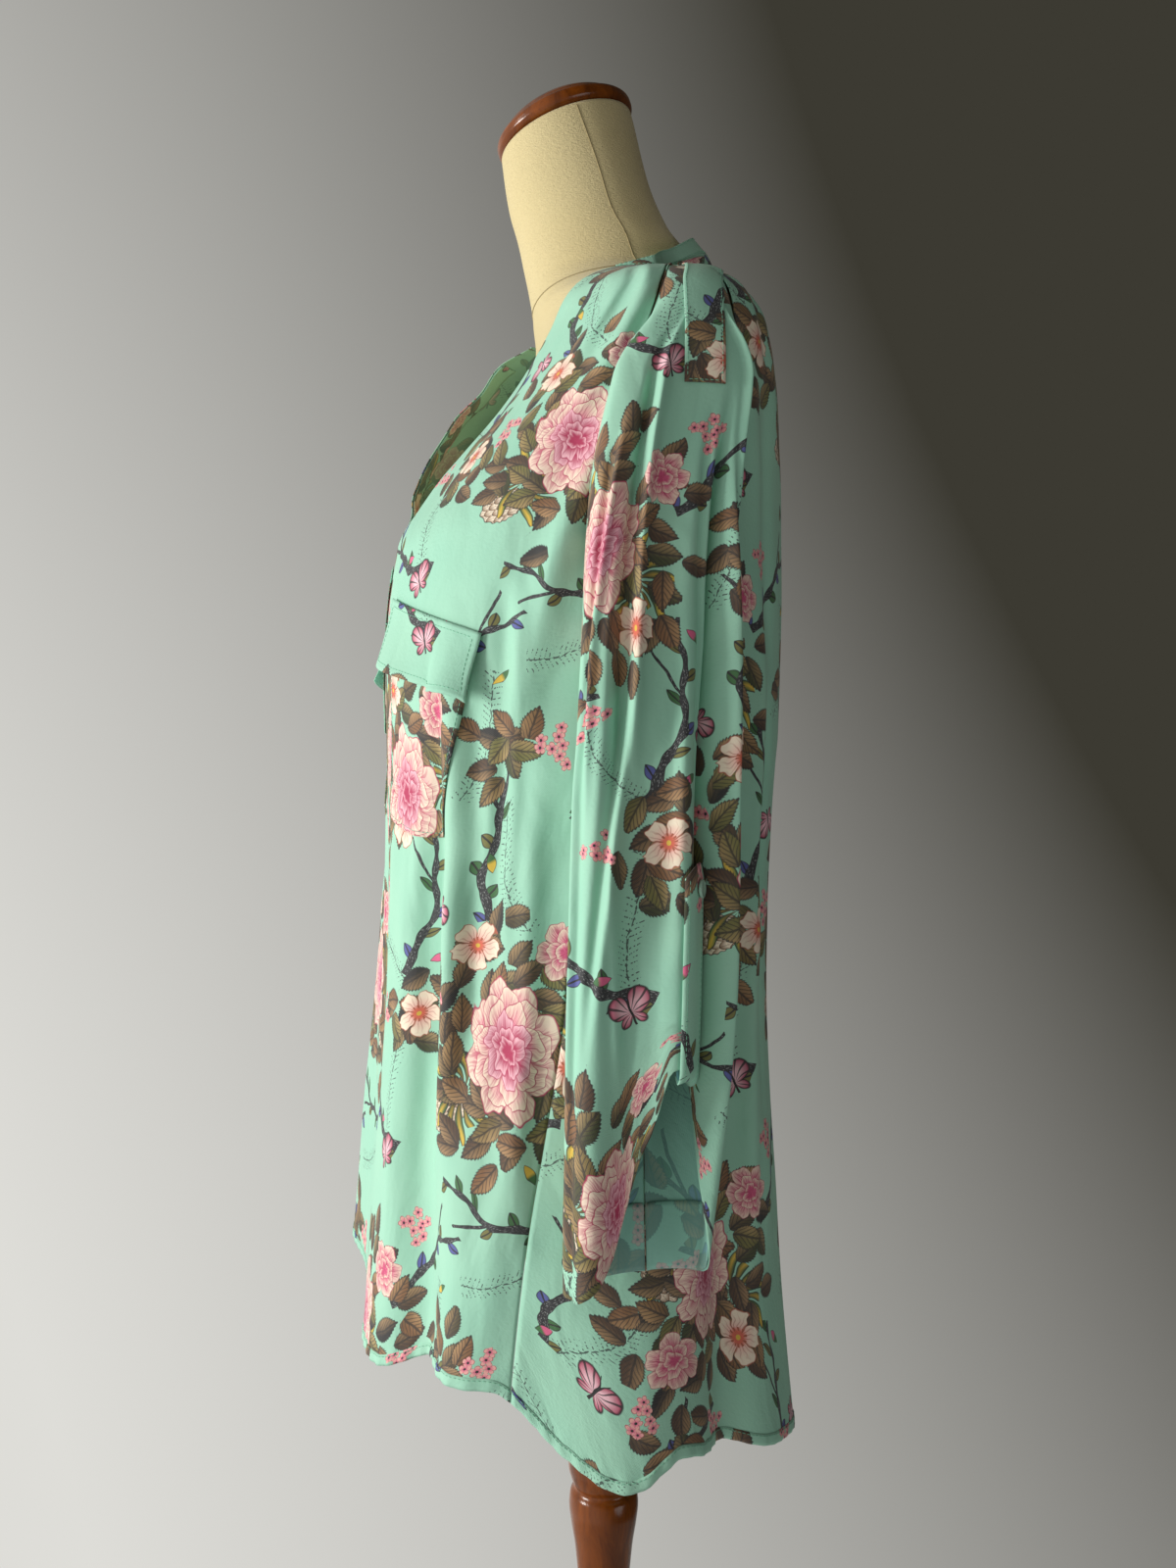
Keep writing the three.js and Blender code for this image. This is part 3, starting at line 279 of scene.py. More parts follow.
# The dress form by level, and how it tips forward up the neck.
FORM_NAMES = ("z", "half", "front", "back", "side")
FORM = (
    (722, 150, -92, 92, 0),
    (735, 163, -101, 101, 0),
    (790, 171, -104, 107, 2),
    (860, 170, -102, 106, 4),
    (930, 150, -92, 90, 2),
    (1000, 130, -86, 74, 0),
    (1070, 142, -100, 82, 0),
    (1130, 157, -122, 94, 2),
    (1185, 168, -132, 103, 5),
    (1235, 174, -116, 109, 10),
    (1280, 178, -93, 112, 16),
    (1310, 180, -74, 112, 22),
    (1335, 179, -62, 110, 27),
    (1352, 175, -55, 106, 29.5),
    (1364, 167, -52, 102, 30),
    (1373, 155, -51, 98, 29),
    (1381, 139, -51, 94, 28),
    (1389, 121, -52, 90, 26),
    (1397, 102, -53.5, 87, 23.5),
    (1402, 89, -54, 85, 22),
    (1412, 69, -56, 81, 18),
    (1424, 58.5, -58.5, 76, 13),
    (1440, 56, -62, 69, 8),
    (1461, 54.5, -66, 50, -3),
    (1490, 53.5, -72, 34, -12),
    (1536, 50.5, -78, 20.5, -28),
)
NECK_TILT = 19.0
TILT_STARTS = 1440.0
POST = (
    (34, 30.4), (34, 42), (24, 52), (19, 70), (17.5, 120), (17.5, 380), (18.5, 420), (22, 462), (25.5, 484),
    (26.5, 494), (25.5, 503), (22.5, 508), (24.5, 513), (27, 524), (26.5, 538), (23, 550), (20, 556),
    (20, 700), (30, 704), (30, 721.6),
)
FOOT = ((197, 0), (200, 4), (200, 14), (192, 20), (170, 25), (60, 30))
CAP = (
    (48.5, 0.4), (51.5, 2), (53.5, 5), (53.5, 8), (51.5, 11), (48.5, 12.5), (45.5, 15.5), (37, 20.5),
    (24, 24), (10, 25.5),
)


# Curves and sections
def ease(x):
    s = np.clip(x, 0, 1)
    return s * s * (3 - 2 * s)


def mix(a, b, s):
    return a + (b - a) * s


def reader(table, names, by, name):
    """A smooth curve through one column of a table, with no overshoot between rows."""
    rows = sorted(table, key=lambda row: row[names.index(by)])
    xs = np.array([row[names.index(by)] for row in rows], float)
    ys = np.array([row[names.index(name)] for row in rows], float)
    steps = np.diff(ys) / np.diff(xs)
    slopes = np.empty(len(xs))
    slopes[0], slopes[-1] = steps[0], steps[-1]
    a, b = steps[:-1], steps[1:]
    safe = np.where(a * b > 0, a + b, 1)
    slopes[1:-1] = np.where(a * b > 0, 2 * a * b / safe, 0)

    def at(x):
        x = np.clip(x, xs[0], xs[-1])
        i = np.clip(np.searchsorted(xs, x, side="right") - 1, 0, len(xs) - 2)
        span = xs[i + 1] - xs[i]
        s = (x - xs[i]) / span
        return (
            ys[i] * (1 + 2 * s) * (1 - s) ** 2 + slopes[i] * span * s * (1 - s) ** 2
            + ys[i + 1] * s * s * (3 - 2 * s) + slopes[i + 1] * span * s * s * (s - 1)
        )

    return at


def readers(table, names, by, wanted):
    return {name: reader(table, names, by, name) for name in wanted}


body = readers(BODY, BODY_NAMES, "z", BODY_NAMES[1:])
front_neck = readers(FRONT_NECK, FRONT_NECK_NAMES, "z", FRONT_NECK_NAMES[1:])
back_neck = reader(BACK_NECK, BACK_NECK_NAMES, "z", "angle")
strip_middle = reader(STRIP_MIDDLE, STRIP_MIDDLE_NAMES, "z", "y")
hem_height = reader(HEM, HEM_NAMES, "angle", "z")
sleeve = readers(SLEEVE, SLEEVE_NAMES, "z", SLEEVE_NAMES[1:])
cuff_height = reader(CUFF, CUFF_NAMES, "share", "z")
form = readers(FORM, FORM_NAMES, "z", FORM_NAMES[1:])


def bump(x, wide):
    return np.exp(-((x / wide) ** 2))


def between(a, b):
    return (a - b + 540) % 360 - 180


def crease(x, z, row, ring):
    """One fine crease: a lift along a line from its start to its end, dying away at both."""
    x0, z0, x1, z1, wide, lift = row
    gone = (z0 - z) / (z0 - z1)
    across = between(x, mix(x0, x1, np.clip(gone, 0, 1))) if ring else x - mix(x0, x1, np.clip(gone, 0, 1))
    return lift * ease(gone * 5) * ease((1 - gone) * 3) * bump(across, wide)


def body_lift(angle, z, fine):
    lift = np.zeros(np.broadcast(angle, z).shape)
    for top, hem, wide, start, height in HANGING_FOLDS:
        grown = np.clip((start - z) / (start - FOLDS_FULL), 0, 2)
        centre = mix(top, hem, np.clip(grown, 0, 1))
        lift = lift + height * grown ** 0.8 * ease(grown * 3) * bump(between(angle, centre), wide)
    for top, end, wide, until, height in SHOULDER_GATHERS:
        gone = (RIDGE - z) / (RIDGE - until)
        inside = (gone >= 0) & (gone <= 1)
        strength = ease(gone * 6) * ease((1 - gone) * 1.6) * inside
        lift = lift + height * strength * bump(np.abs(angle) - mix(top, end, gone), wide)
    if fine:
        for row in CREASES:
            lift = lift + crease(angle, z, row, True)
    return lift


def body_point(angle, z, fine=True):
    """A point on the outside of the blouse's body. angle runs from the centre front, positive to the left."""
    angle, z = np.broadcast_arrays(np.asarray(angle, float), np.asarray(z, float))
    s, c = np.sin(np.radians(angle)), np.cos(np.radians(angle))
    square, side = body["square"](z), body["side"](z)
    depth = np.where(c > 0, side - body["front"](z), body["back"](z) - side)
    x = body["half"](z) * np.sign(s) * np.abs(s) ** square
    y = side - np.sign(c) * depth * np.abs(c) ** square
    away = np.hypot(x, y - side)
    lift = body_lift(angle, z, fine) / away
    edge = -np.degrees(np.arcsin(np.clip(front_neck["right"](z) / body["half"](z), 0, 1)))
    stand = np.where(z > PLACKET_BOTTOM, front_neck["stand"](z) * bump(angle - edge, NECK_STAND_SPREAD), 0)
    forward = np.where(angle > edge, stand * ease((30 - angle) / (30 - edge)), stand)
    return np.stack([x + x * lift, y + (y - side) * lift - forward, z], axis=-1)


REACH_LEVELS = np.arange(740.0, 1380.0, 4.0)
REACHES = np.array([body_point(np.arange(60.0, 121.0, 5.0), z, False)[:, 0].max() for z in REACH_LEVELS])
SEAM_Y = float(body_point(body["front_end"](UNDERARM), UNDERARM, False)[1])
SLEEVE_ROUND = 0.72


def tip_weight(z):
    return ease((z - TIP_STARTS) / TIP_FADE)


def sleeve_point(share, z, fine=True):
    """A point on the left sleeve, by share of the way round from its front edge over the outside."""
    share, z = np.broadcast_arrays(np.asarray(share, float), np.asarray(z, float))
    closed = z <= UNDERARM
    front = body_point(body["front_end"](z), z, False)
    back_edge = body_point(body["back_end"](z), z, False)
    inside = np.where(
        closed, np.interp(z, REACH_LEVELS, REACHES) + mix(0.4, 4, ease((UNDERARM - z) / 60)), front[..., 0]
    )
    outside, start = sleeve["out"](z), sleeve["open"](z)
    middle = (sleeve["front"](z) + sleeve["back"](z)) / 2
    reach = (sleeve["back"](z) - sleeve["front"](z)) / 2

    def outline(degrees):
        s, c = np.sin(np.radians(degrees)), np.cos(np.radians(degrees))
        return (
            (inside + outside) / 2 - (outside - inside) / 2 * np.sign(c) * np.abs(c) ** SLEEVE_ROUND,
            middle - reach * np.sign(s) * np.abs(s) ** SLEEVE_ROUND,
        )

    turn = mix(start, 360 - start, share)
    x, y = outline(turn)
    wanted = (
        (np.where(closed, inside, front[..., 0]), np.where(closed, SEAM_Y, front[..., 1])),
        (np.where(closed, inside, back_edge[..., 0]), np.where(closed, SEAM_Y, back_edge[..., 1])),
    )
    ends = (outline(start), outline(360 - start))
    pulls = (np.clip(1 - share * 4, 0, 1) ** 2, np.clip(1 - (1 - share) * 4, 0, 1) ** 2)
    for pull, want, end in zip(pulls, wanted, ends):
        x = x + (want[0] - end[0]) * pull
        y = y + (want[1] - end[1]) * pull
    at_tip = tip_weight(z)
    swell = (outside - front[..., 0]) * np.clip(np.sin(math.pi * share), 0, 1) ** 0.7
    half = (back_edge[..., 1] - front[..., 1]) / 2 - TIP_GAP
    x = mix(x, mix(front[..., 0], back_edge[..., 0], share) + swell, at_tip)
    y = mix(y, (front[..., 1] + back_edge[..., 1]) / 2 - half * np.cos(math.pi * share), at_tip)
    s, c = np.sin(np.radians(turn)), np.cos(np.radians(turn))
    lift = np.zeros(x.shape)
    for centre, wide, top, height in SLEEVE_FOLDS:
        lift = lift + height * ease((top - z) / 220) * bump(share - centre, wide)
    if fine:
        for row in SLEEVE_CREASES:
            lift = lift + crease(share, z, row, False)
    return np.stack([x - lift * c, y - lift * s * 0.6, z], axis=-1)


def outer_point(y, z):
    """The outermost cloth of the left half at a level, for a given y: body or sleeve."""
    low, high = np.zeros(np.shape(y)), np.ones(np.shape(y))
    start = body_point(body["front_end"](z), z, False)[..., 1]
    end = body_point(body["back_end"](z), z, False)[..., 1]
    on_sleeve = (z < SLEEVE_TOP) & (y > start) & (y < end)

    def at(t):
        return np.where(
            on_sleeve[..., None], sleeve_point(t, z), body_point(mix(5, 175, t), z)
        )

    for _ in range(30):
        middle = (low + high) / 2
        before = at(middle)[..., 1] < y
        low, high = np.where(before, middle, low), np.where(before, high, middle)
    return at((low + high) / 2)


# Meshes
def grid_normals(points, keep=None):
    """Unit normals at a grid's points, from its kept cells."""
    across = points[1:, 1:] - points[:-1, :-1]
    other = points[1:, :-1] - points[:-1, 1:]
    cells = np.cross(other, across)
    if keep is not None:
        cells = cells * keep[..., None]
    normals = np.zeros(points.shape)
    normals[:-1, :-1] += cells
    normals[1:, :-1] += cells
    normals[:-1, 1:] += cells
    normals[1:, 1:] += cells
    size = np.linalg.norm(normals, axis=-1, keepdims=True)
    return normals / np.where(size > 1e-9, size, 1)


def outset(points, distance):
    return points + grid_normals(points) * np.asarray(distance, float)[..., None]


def lengths(points):
    """The length gone along each row of points from its start."""
    steps = np.linalg.norm(np.diff(points, axis=-2), axis=-1)
    return np.concatenate([np.zeros(steps.shape[:-1] + (1,)), np.cumsum(steps, axis=-1)], axis=-1)


def cut_coordinates(points, centre):
    """Where each point lies on the flat cloth, in metres: across from a column, and down from the top."""
    u = lengths(points)
    u -= u[:, centre:centre + 1]
    falls = np.linalg.norm(np.diff(points, axis=0), axis=-1).mean(axis=1)
    v = -np.concatenate([[0], np.cumsum(falls)])
    return np.stack([u, np.broadcast_to(v[:, None], u.shape)], axis=-1) * MM


def mirrored(points):
    flipped = points[:, ::-1].copy()
    flipped[..., 0] *= -1
    return flipped


def mesh_piece(name, points, faces, materials, smooth=None, slots=None):
    """A mesh object from points in millimetres."""
    mesh = bpy.data.meshes.new(name)
    mesh.from_pydata((np.reshape(points, (-1, 3)) * MM).tolist(), [], faces)
    mesh.polygons.foreach_set("use_smooth", np.ones(len(faces), bool) if smooth is None else smooth)
    if slots is not None:
        mesh.polygons.foreach_set("material_index", slots)
    for material in materials:
        mesh.materials.append(material)
    mesh.update()
    obj = bpy.data.objects.new(name, mesh)
    bpy.context.collection.objects.link(obj)
    return obj


def cloth_sheet(name, points, cut, materials, keep=None, thickness=CLOTH):
    """A sheet with a face side, a reverse side and narrow rims. cut is the flat cloth's coordinates."""
    rows, columns = points.shape[:2]
    there = np.ones((rows - 1, columns - 1), bool) if keep is None else keep
    inner = points - grid_normals(points, there) * thickness
    count = rows * columns
    index = np.arange(count).reshape(rows, columns)
    a, b, c, d = index[:-1, :-1], index[1:, :-1], index[1:, 1:], index[:-1, 1:]
    face = np.stack([a, b, c, d], axis=-1)[there]
    reverse = np.stack([a, d, c, b], axis=-1)[there] + count
    padded_cells = np.pad(there, 1)
    rims = []
    sides = (
        (padded_cells[:-2, 1:-1], (d, a)), (padded_cells[2:, 1:-1], (b, c)),
        (padded_cells[1:-1, :-2], (a, b)), (padded_cells[1:-1, 2:], (c, d)),
    )
    for neighbour, (start, end) in sides:
        edge = there & ~neighbour
        rims.append(np.stack([start[edge], start[edge] + count, end[edge] + count, end[edge]], axis=-1))
    rim = np.concatenate(rims)
    faces = np.concatenate([face, reverse, rim])
    used, packed = np.unique(faces, return_inverse=True)
    vertices = np.concatenate([points.reshape(-1, 3), inner.reshape(-1, 3)])[used]
    slot = np.zeros(len(faces), np.int32)
    slot[len(face):len(face) + len(reverse)] = 1
    piece = mesh_piece(name, vertices, packed.reshape(faces.shape).tolist(), materials, slots=slot)
    layer = piece.data.uv_layers.new(name="cut")
    layer.data.foreach_set("uv", np.concatenate([cut.reshape(-1, 2)] * 2)[faces.reshape(-1)].reshape(-1))
    return piece


def strip_of_rings(count, sides, closed=False):
    """Faces between rings of equal length, one after the other."""
    index = np.arange(count * sides).reshape(count, sides)
    after = np.roll(index, -1, axis=0) if closed else index[1:]
    before = index if closed else index[:-1]
    return np.stack([
        before, np.roll(before, -1, axis=1), np.roll(after, -1, axis=1), after
    ], axis=-1).reshape(-1, 4).tolist()


def tube(name, path, radius, material, sides=6, closed=False):
    """A round thread along a path of points in millimetres."""
    path = np.asarray(path, float)
    along = np.gradient(path, axis=0)
    along /= np.linalg.norm(along, axis=1, keepdims=True)
    helper = np.where(np.abs(along[:, 2:]) > 0.9, [[1.0, 0, 0]], [[0, 0, 1.0]])
    u = np.cross(along, helper)
    u /= np.linalg.norm(u, axis=1, keepdims=True)
    v = np.cross(along, u)
    turns = (np.arange(sides) * 2 * math.pi / sides)[None, :, None]
    ring = path[:, None] + radius * (u[:, None] * np.cos(turns) + v[:, None] * np.sin(turns))
    faces = strip_of_rings(len(path), sides, closed)
    if not closed:
        faces += [list(reversed(range(sides))), [(len(path) - 1) * sides + k for k in range(sides)]]
    return mesh_piece(name, ring, faces, [material])


def rings_mesh(name, rings, material):
    """A closed solid from rings of equal length, capped at both ends."""
    levels, steps = rings.shape[:2]
    faces = strip_of_rings(levels, steps)
    faces += [list(reversed(range(steps))), [(levels - 1) * steps + k for k in range(steps)]]
    smooth = np.ones(len(faces), bool)
    smooth[-2:] = False
    return mesh_piece(name, rings, faces, [material], smooth)


def turned_rings(profile, steps=96, finer=4):
    """Rings of a turned piece, with extra rows eased in along its profile."""
    profile = np.array(profile, float)
    gone = lengths(profile)
    table = [(g, r, z) for g, (r, z) in zip(gone, profile)]
    names = ("gone", "r", "z")
    at = np.unique(np.concatenate([np.linspace(a, b, finer + 1) for a, b in zip(gone[:-1], gone[1:])]))
    r, z = reader(table, names, "gone", "r")(at), reader(table, names, "gone", "z")(at)
    turn = np.arange(steps) * 2 * math.pi / steps
    return np.stack([
        r[:, None] * np.cos(turn), r[:, None] * np.sin(turn), np.broadcast_to(z[:, None], (len(z), steps))
    ], axis=-1)


# Materials
def linear(r, g, b):
    def channel(v):
        v /= 255
        return v / 12.92 if v <= 0.04045 else ((v + 0.055) / 1.055) ** 2.4
    return (channel(r), channel(g), channel(b), 1.0)


class Wire:
    """A value in a node tree. Arithmetic on wires adds Math nodes."""

    def __init__(self, tree, socket):
        self.tree, self.socket = tree, socket

    def math(self, operation, *others):
        return add_node("Math", dict(enumerate((self, *others))), operation=operation)

    __add__ = partialmethod(math, "ADD")
    __sub__ = partialmethod(math, "SUBTRACT")
    __mul__ = partialmethod(math, "MULTIPLY")
    __truediv__ = partialmethod(math, "DIVIDE")
    __neg__ = partialmethod(math, "MULTIPLY", -1)
    __lt__ = partialmethod(math, "LESS_THAN")
    __gt__ = partialmethod(math, "GREATER_THAN")
    abs = partialmethod(math, "ABSOLUTE")
    sin = partialmethod(math, "SINE")
    cos = partialmethod(math, "COSINE")
    floor = partialmethod(math, "FLOOR")
    fract = partialmethod(math, "FRACT")
    power = partialmethod(math, "POWER")
    least = partialmethod(math, "MINIMUM")
    most = partialmethod(math, "MAXIMUM")
    atan2 = partialmethod(math, "ARCTAN2")

    def __rsub__(self, other):
        return -self + other

    def ramp(self, low, high):
        """0 below low, 1 above high, straight between."""
        return add_node("MapRange", {0: self, 1: low, 2: high})


def add_node(kind, inputs, out=0, tree=None, **settings):
    """Adds a node to a tree, or to that of its wired inputs. out names one output, or is a tuple of them."""
    tree = tree or next(value.tree for value in inputs.values() if isinstance(value, Wire))
    node = tree.nodes.new("ShaderNode" + kind)
    for name, value in settings.items():
        setattr(node, name, value)
    for slot, value in inputs.items():
        if isinstance(value, Wire):
            tree.links.new(value.socket, node.inputs[slot])
        else:
            node.inputs[slot].default_value = value
    if isinstance(out, tuple):
        return [Wire(tree, node.outputs[name]) for name in out]
    return Wire(tree, node.outputs[out])


def split(vector):
    return add_node("SeparateXYZ", {0: vector}, (0, 1, 2))


def join(x, y, z=0.0):
    return add_node("CombineXYZ", {0: x, 1: y, 2: z})


def vector_math(operation, *values):
    return add_node("VectorMath", dict(enumerate(values)), int(operation == "LENGTH"), operation=operation)


def choose(factor, a, b, kind="RGBA"):
    """a where factor is 0, b where it is 1. kind is RGBA, VECTOR or FLOAT."""
    first, out = {"FLOAT": (2, 0), "VECTOR": (4, 1), "RGBA": (6, 2)}[kind]
    return add_node("Mix", {0: factor, first: a, first + 1: b}, out, data_type=kind)


def noise(vector, scale, detail=2.0, roughness=0.5, distortion=0.0):
    """Cloudy noise as a value and as a colour."""
    names = ("Vector", "Scale", "Detail", "Roughness", "Distortion")
    return add_node("TexNoise", dict(zip(names, (vector, scale, detail, roughness, distortion))), (0, 1))


def only(where, field):
    """A motif's field inside a mask, and below 0 outside it."""
    return choose(where, -1.0, field, "FLOAT")


def cells(vector, scale, randomness):
    """The centre and the colour of the scattered cell that each place belongs to."""
    inputs = {"Vector": vector, "Scale": scale, "Randomness": randomness}
    return add_node("TexVoronoi", inputs, ("Position", "Color"), voronoi_dimensions="2D")


# The print is drawn in its own units: metres on the cloth times this. Then its repeat and its colours.
PRINT_SCALE = 1.36
REPEAT = (0.42, 0.52)
MINT = linear(160, 212, 187)
MINT_DEEP = linear(136, 200, 177)
INK = linear(34, 32, 34)
BROWN = linear(132, 92, 58)
UMBER = linear(84, 60, 42)
OLIVE = linear(116, 112, 58)
OLIVE_DARK = linear(66, 72, 38)
GREEN = linear(58, 108, 60)
TAN = linear(208, 170, 122)
CREAM = linear(244, 228, 206)
BLUSH = linear(238, 176, 168)
PINK = linear(222, 96, 140)
MAGENTA = linear(176, 34, 84)
ROSE = linear(246, 196, 208)
CORAL = linear(214, 92, 62)
YELLOW = linear(222, 186, 66)
VIOLET = linear(84, 92, 160)
CHARCOAL = linear(36, 36, 42)
GREY = linear(138, 142, 142)
RUST = linear(170, 84, 58)

# Where each motif lies in the repeat: x, y and size in millimetres, and its turn in degrees.
PEONIES = ((105, 150, 60, 100), (300, 400, 57, 75))
ROSES = ((150, 232, 27, 30), (245, 335, 28, 170), (366, 460, 25, 80))
BLOSSOMS = (
    (62, 232, 26, 10), (345, 335, 27, 80), (228, 452, 24, 150), (190, 60, 25, 250), (385, 165, 25, 30),
)
CONES = ((165, 110, 29, 60), (248, 412, 28, 115), (40, 92, 27, 20))
BRANCHES = (
    (225, 235, 88, 35), (300, 80, 86, 150), (60, 335, 84, 100), (170, 410, 80, 70), (385, 270, 76, 80),
    (250, 160, 74, 115), (20, 480, 78, 30), (110, 20, 70, 170),
)
CLUSTERS = (
    (290, 265, 21, 0), (205, 300, 19, 90), (15, 180, 20, 40), (250, 20, 21, 70), (110, 400, 20, 130),
    (400, 500, 19, 10), (320, 160, 18, 60),
)
TWIGS = (
    (240, 115, 60, 65), (90, 300, 62, 120), (360, 110, 58, 95), (195, 365, 60, 40), (35, 410, 60, 75),
    (130, 490, 55, 10), (330, 225, 52, 130),
)
BUTTERFLIES = ((172, 318, 25, 40), (358, 34, 24, 115), (15, 262, 22, 290))
BUDS = (
    (265, 200, 12, 50), (130, 55, 12, 120), (400, 215, 12, 200), (140, 350, 12, 20), (60, 300, 12, 300),
    (215, 250, 11, 75), (400, 330, 12, 140), (50, 460, 12, 220), (330, 60, 11, 10),
)
BLADES = ((170, 172, 48, 20), (62, 112, 44, 200), (262, 430, 46, 160), (345, 372, 44, 330), (212, 88, 38, 70))
# The bouquets that gather leaves round the large flowers.
BOUQUETS = (
    (105, 158, 98, 95), (300, 398, 96, 80), (205, 62, 50, 200), (385, 160, 48, 60), (60, 400, 40, 150),
    (228, 262, 38, 20),
)
LEAF_PITCH = 0.031
LEAF_LENGTH = LEAF_PITCH * 1.12
# Rings of petals from the outside in: how many and how far out.
ROSE_PETALS = ((6, 0.95), (5, 0.62), (3, 0.34))
PEONY_PETALS = ((8, 1.0), (9, 0.84), (7, 0.68), (6, 0.52), (5, 0.36), (3, 0.2))
# Each motif's number travels in its third coordinate, divided by this.
OWN_NUMBER = 10000


def place(flat, table, stretch=1.0):
    """Local coordinates of the nearest motif of a table, in motif sizes: x, y and a number of its own."""
    best, chosen = None, None
    for number, (x, y, size, turn) in enumerate(table):
        centre = (x * MM, y * MM, 0.0)
        low = (centre[0] - REPEAT[0] / 2, centre[1] - REPEAT[1] / 2, -1.0)
        high = (centre[0] + REPEAT[0] / 2, centre[1] + REPEAT[1] / 2, 1.0)
        wrapped = vector_math("WRAP", flat, high, low)
        local = add_node("Mapping", {
            0: wrapped,
            1: (centre[0], centre[1], -(number + 1) / OWN_NUMBER),
            2: (0, 0, math.radians(turn)),
            3: (size * MM, size * MM / stretch, 1.0),
        }, vector_type="TEXTURE")
        away = vector_math("LENGTH", local)
        if best is None:
            best, chosen = away, local
            continue
        nearer = away < best
        chosen = choose(nearer, chosen, local, "VECTOR")
        best = best.least(away)
    x, y, own = split(chosen)
    return x, y / stretch, own * OWN_NUMBER


def polar(x, y):
    radius = (x * x + y * y).power(0.5)
    return radius, y.atan2(x)


def leaf_field(along, across, width):
    """Above 0 inside a pointed leaf that runs from 0 to 1, with its outline near 0."""
    body_width = (along.most(0.0).least(1.0) * math.pi).sin().power(0.8) * width
    return body_width - across.abs()


def paint(ground, colour, mask):
    return choose(mask, ground, colour)


def inked(ground, colour, field, line, ink=INK):
    """Paints a motif where its field is above 0, with an ink line just inside its edge."""
    inside = choose(field.ramp(line * 0.6, line * 1.4), ink, colour)
    return paint(ground, inside, field.ramp(0.0, line * 0.5))


def draw_foliage(flat, ground, shift, reach, colours):
    """Serrated, veined leaves that point away from the heart of each bouquet, one to each scattered cell."""
    moved = vector_math("ADD", flat, (shift, shift * 0.7, 0.0))
    at, chances = cells(moved, 1 / LEAF_PITCH, 0.5)
    chance, other, third = split(chances)
    bx, by, own = place(vector_math("SUBTRACT", at, (shift, shift * 0.7, 0.0)), BOUQUETS, 0.72)
    far, heading = polar(bx, by)
    turn = heading + own * 0.55 + (chance - 0.5) * 1.7
    dx, dy, _ = split(vector_math("SUBTRACT", moved, at))
    along = (dx * turn.cos() + dy * turn.sin()) / LEAF_LENGTH + 0.5
    across = (dy * turn.cos() - dx * turn.sin()) / LEAF_LENGTH
    teeth = ((along * 13).fract() - 0.5) * 0.045
    field = leaf_field(along.power(0.85), across, 0.3) + teeth
    there = (far + (other - 0.5) * 0.45) < reach
    field = only(there, field)
    veins = ((along - across.abs() * 1.5) * 40).sin().ramp(0.55, 0.9) * across.abs().ramp(0.27, 0.17)
    rib = across.abs().ramp(0.034, 0.018)
    low, high, odd = colours
    base = choose(other.ramp(0.35, 0.65), low, high)
    base = choose(third > 0.8, base, odd)
    base = choose((across / 0.27 + veins * 0.3).ramp(-0.4, 1.0) * 0.55, base, TAN)
    base = choose(along.ramp(0.45, 0.0) * 0.5, base, INK)
    base = choose(veins.most(rib) * 0.8, base, INK)
    return inked(ground, base, field, 0.045)


def draw_blades(flat, ground):
    """Slender dark green leaves that fan out from under the large flowers."""
    x, y, own = place(flat, BLADES, 1.0)
    radius, angle = polar(x, y)
    fan = angle * 2.4 + (radius * 2.6 + own).sin() * 0.7
    step = (fan.fract() - 0.5).abs()
    chance = (fan.floor() * 2.7 + own).sin()
    width = (radius.least(1.0) * math.pi).sin() * 0.42
    field = width - step + chance * 0.06
    field = only(radius < chance * 0.2 + 0.78, field)
    colour = choose(step.ramp(0.02, 0.3), YELLOW, GREEN)
    colour = choose(radius.ramp(0.75, 0.25) * 0.8, colour, INK)
    return inked(ground, colour, field, 0.09)


def draw_branch(flat, ground):
    """A winding charcoal branch with grey flecks, side twigs and small leaves."""
    x, y, own = place(flat, BRANCHES, 1.6)
    line = (x * 2.7 + own).sin() * 0.14 + (x * 9).sin() * 0.03
    off = y - line
    in_length = x.abs() < 0.98
    width = (x * -0.35 + 0.9).abs() * 0.05 + (x * 23).sin() * 0.008
    field = width - off.abs()
    fork = y - line - (x - 0.15) * 0.85
    fork_field = only(x > 0.15, 0.026 - fork.abs())
    fork_field = only(x < 0.62, fork_field)
    field = field.most(fork_field)
    step = 0.27
    cell = (x / step).floor()
    near = ((x / step).fract() - 0.5) * step + 0.09
    side = ((cell * 2.4 + own * 1.7).sin() > 0) * 2 - 1
    away = off * side
    slope = math.radians(50)
    along = (near * math.cos(slope) + away * math.sin(slope)) / 0.24
    across = away * math.cos(slope) - near * math.sin(slope)
    leaf = leaf_field(along, across, 0.062)
    leaf_colour = choose((cell * 1.9 + own).sin() > 0.3, GREEN, OLIVE)
    leaf_colour = choose((cell * 2.9 + own * 2).sin() > 0.55, leaf_colour, VIOLET)
    leaf_colour = choose(across.abs().ramp(0.012, 0.006), leaf_colour, INK)
    leaf = only(in_length, leaf)
    ground = inked(ground, leaf_colour, leaf, 0.012)
    fleck, _ = noise(join(x * 30, off * 90), 1.0, 1.0)
    bark = choose(fleck.ramp(0.57, 0.66), CHARCOAL, GREY)
    field = only(in_length, field)
    return inked(ground, bark, field, 0.009)


def draw_twig(flat, ground):
    """A feathery twig broken into uneven specks of grey ink."""
    x, y, own = place(flat, TWIGS, 1.5)
    off = y - (x * 2.0 + own).sin() * 0.18
    speck, _ = noise(join(x * 15, off * 34, own), 1.0, 0.0)
    stem = (off.abs() < 0.014) * (speck > 0.44)
    slant = (off.abs() * 3 - (x * 13 + own).fract() * 0.5).abs()
    leaflets = (slant < 0.06) * (off.abs() < 0.19) * (speck > 0.53)
    return paint(ground, CHARCOAL, stem.most(leaflets) * (x.abs() < 0.95) * 0.85)


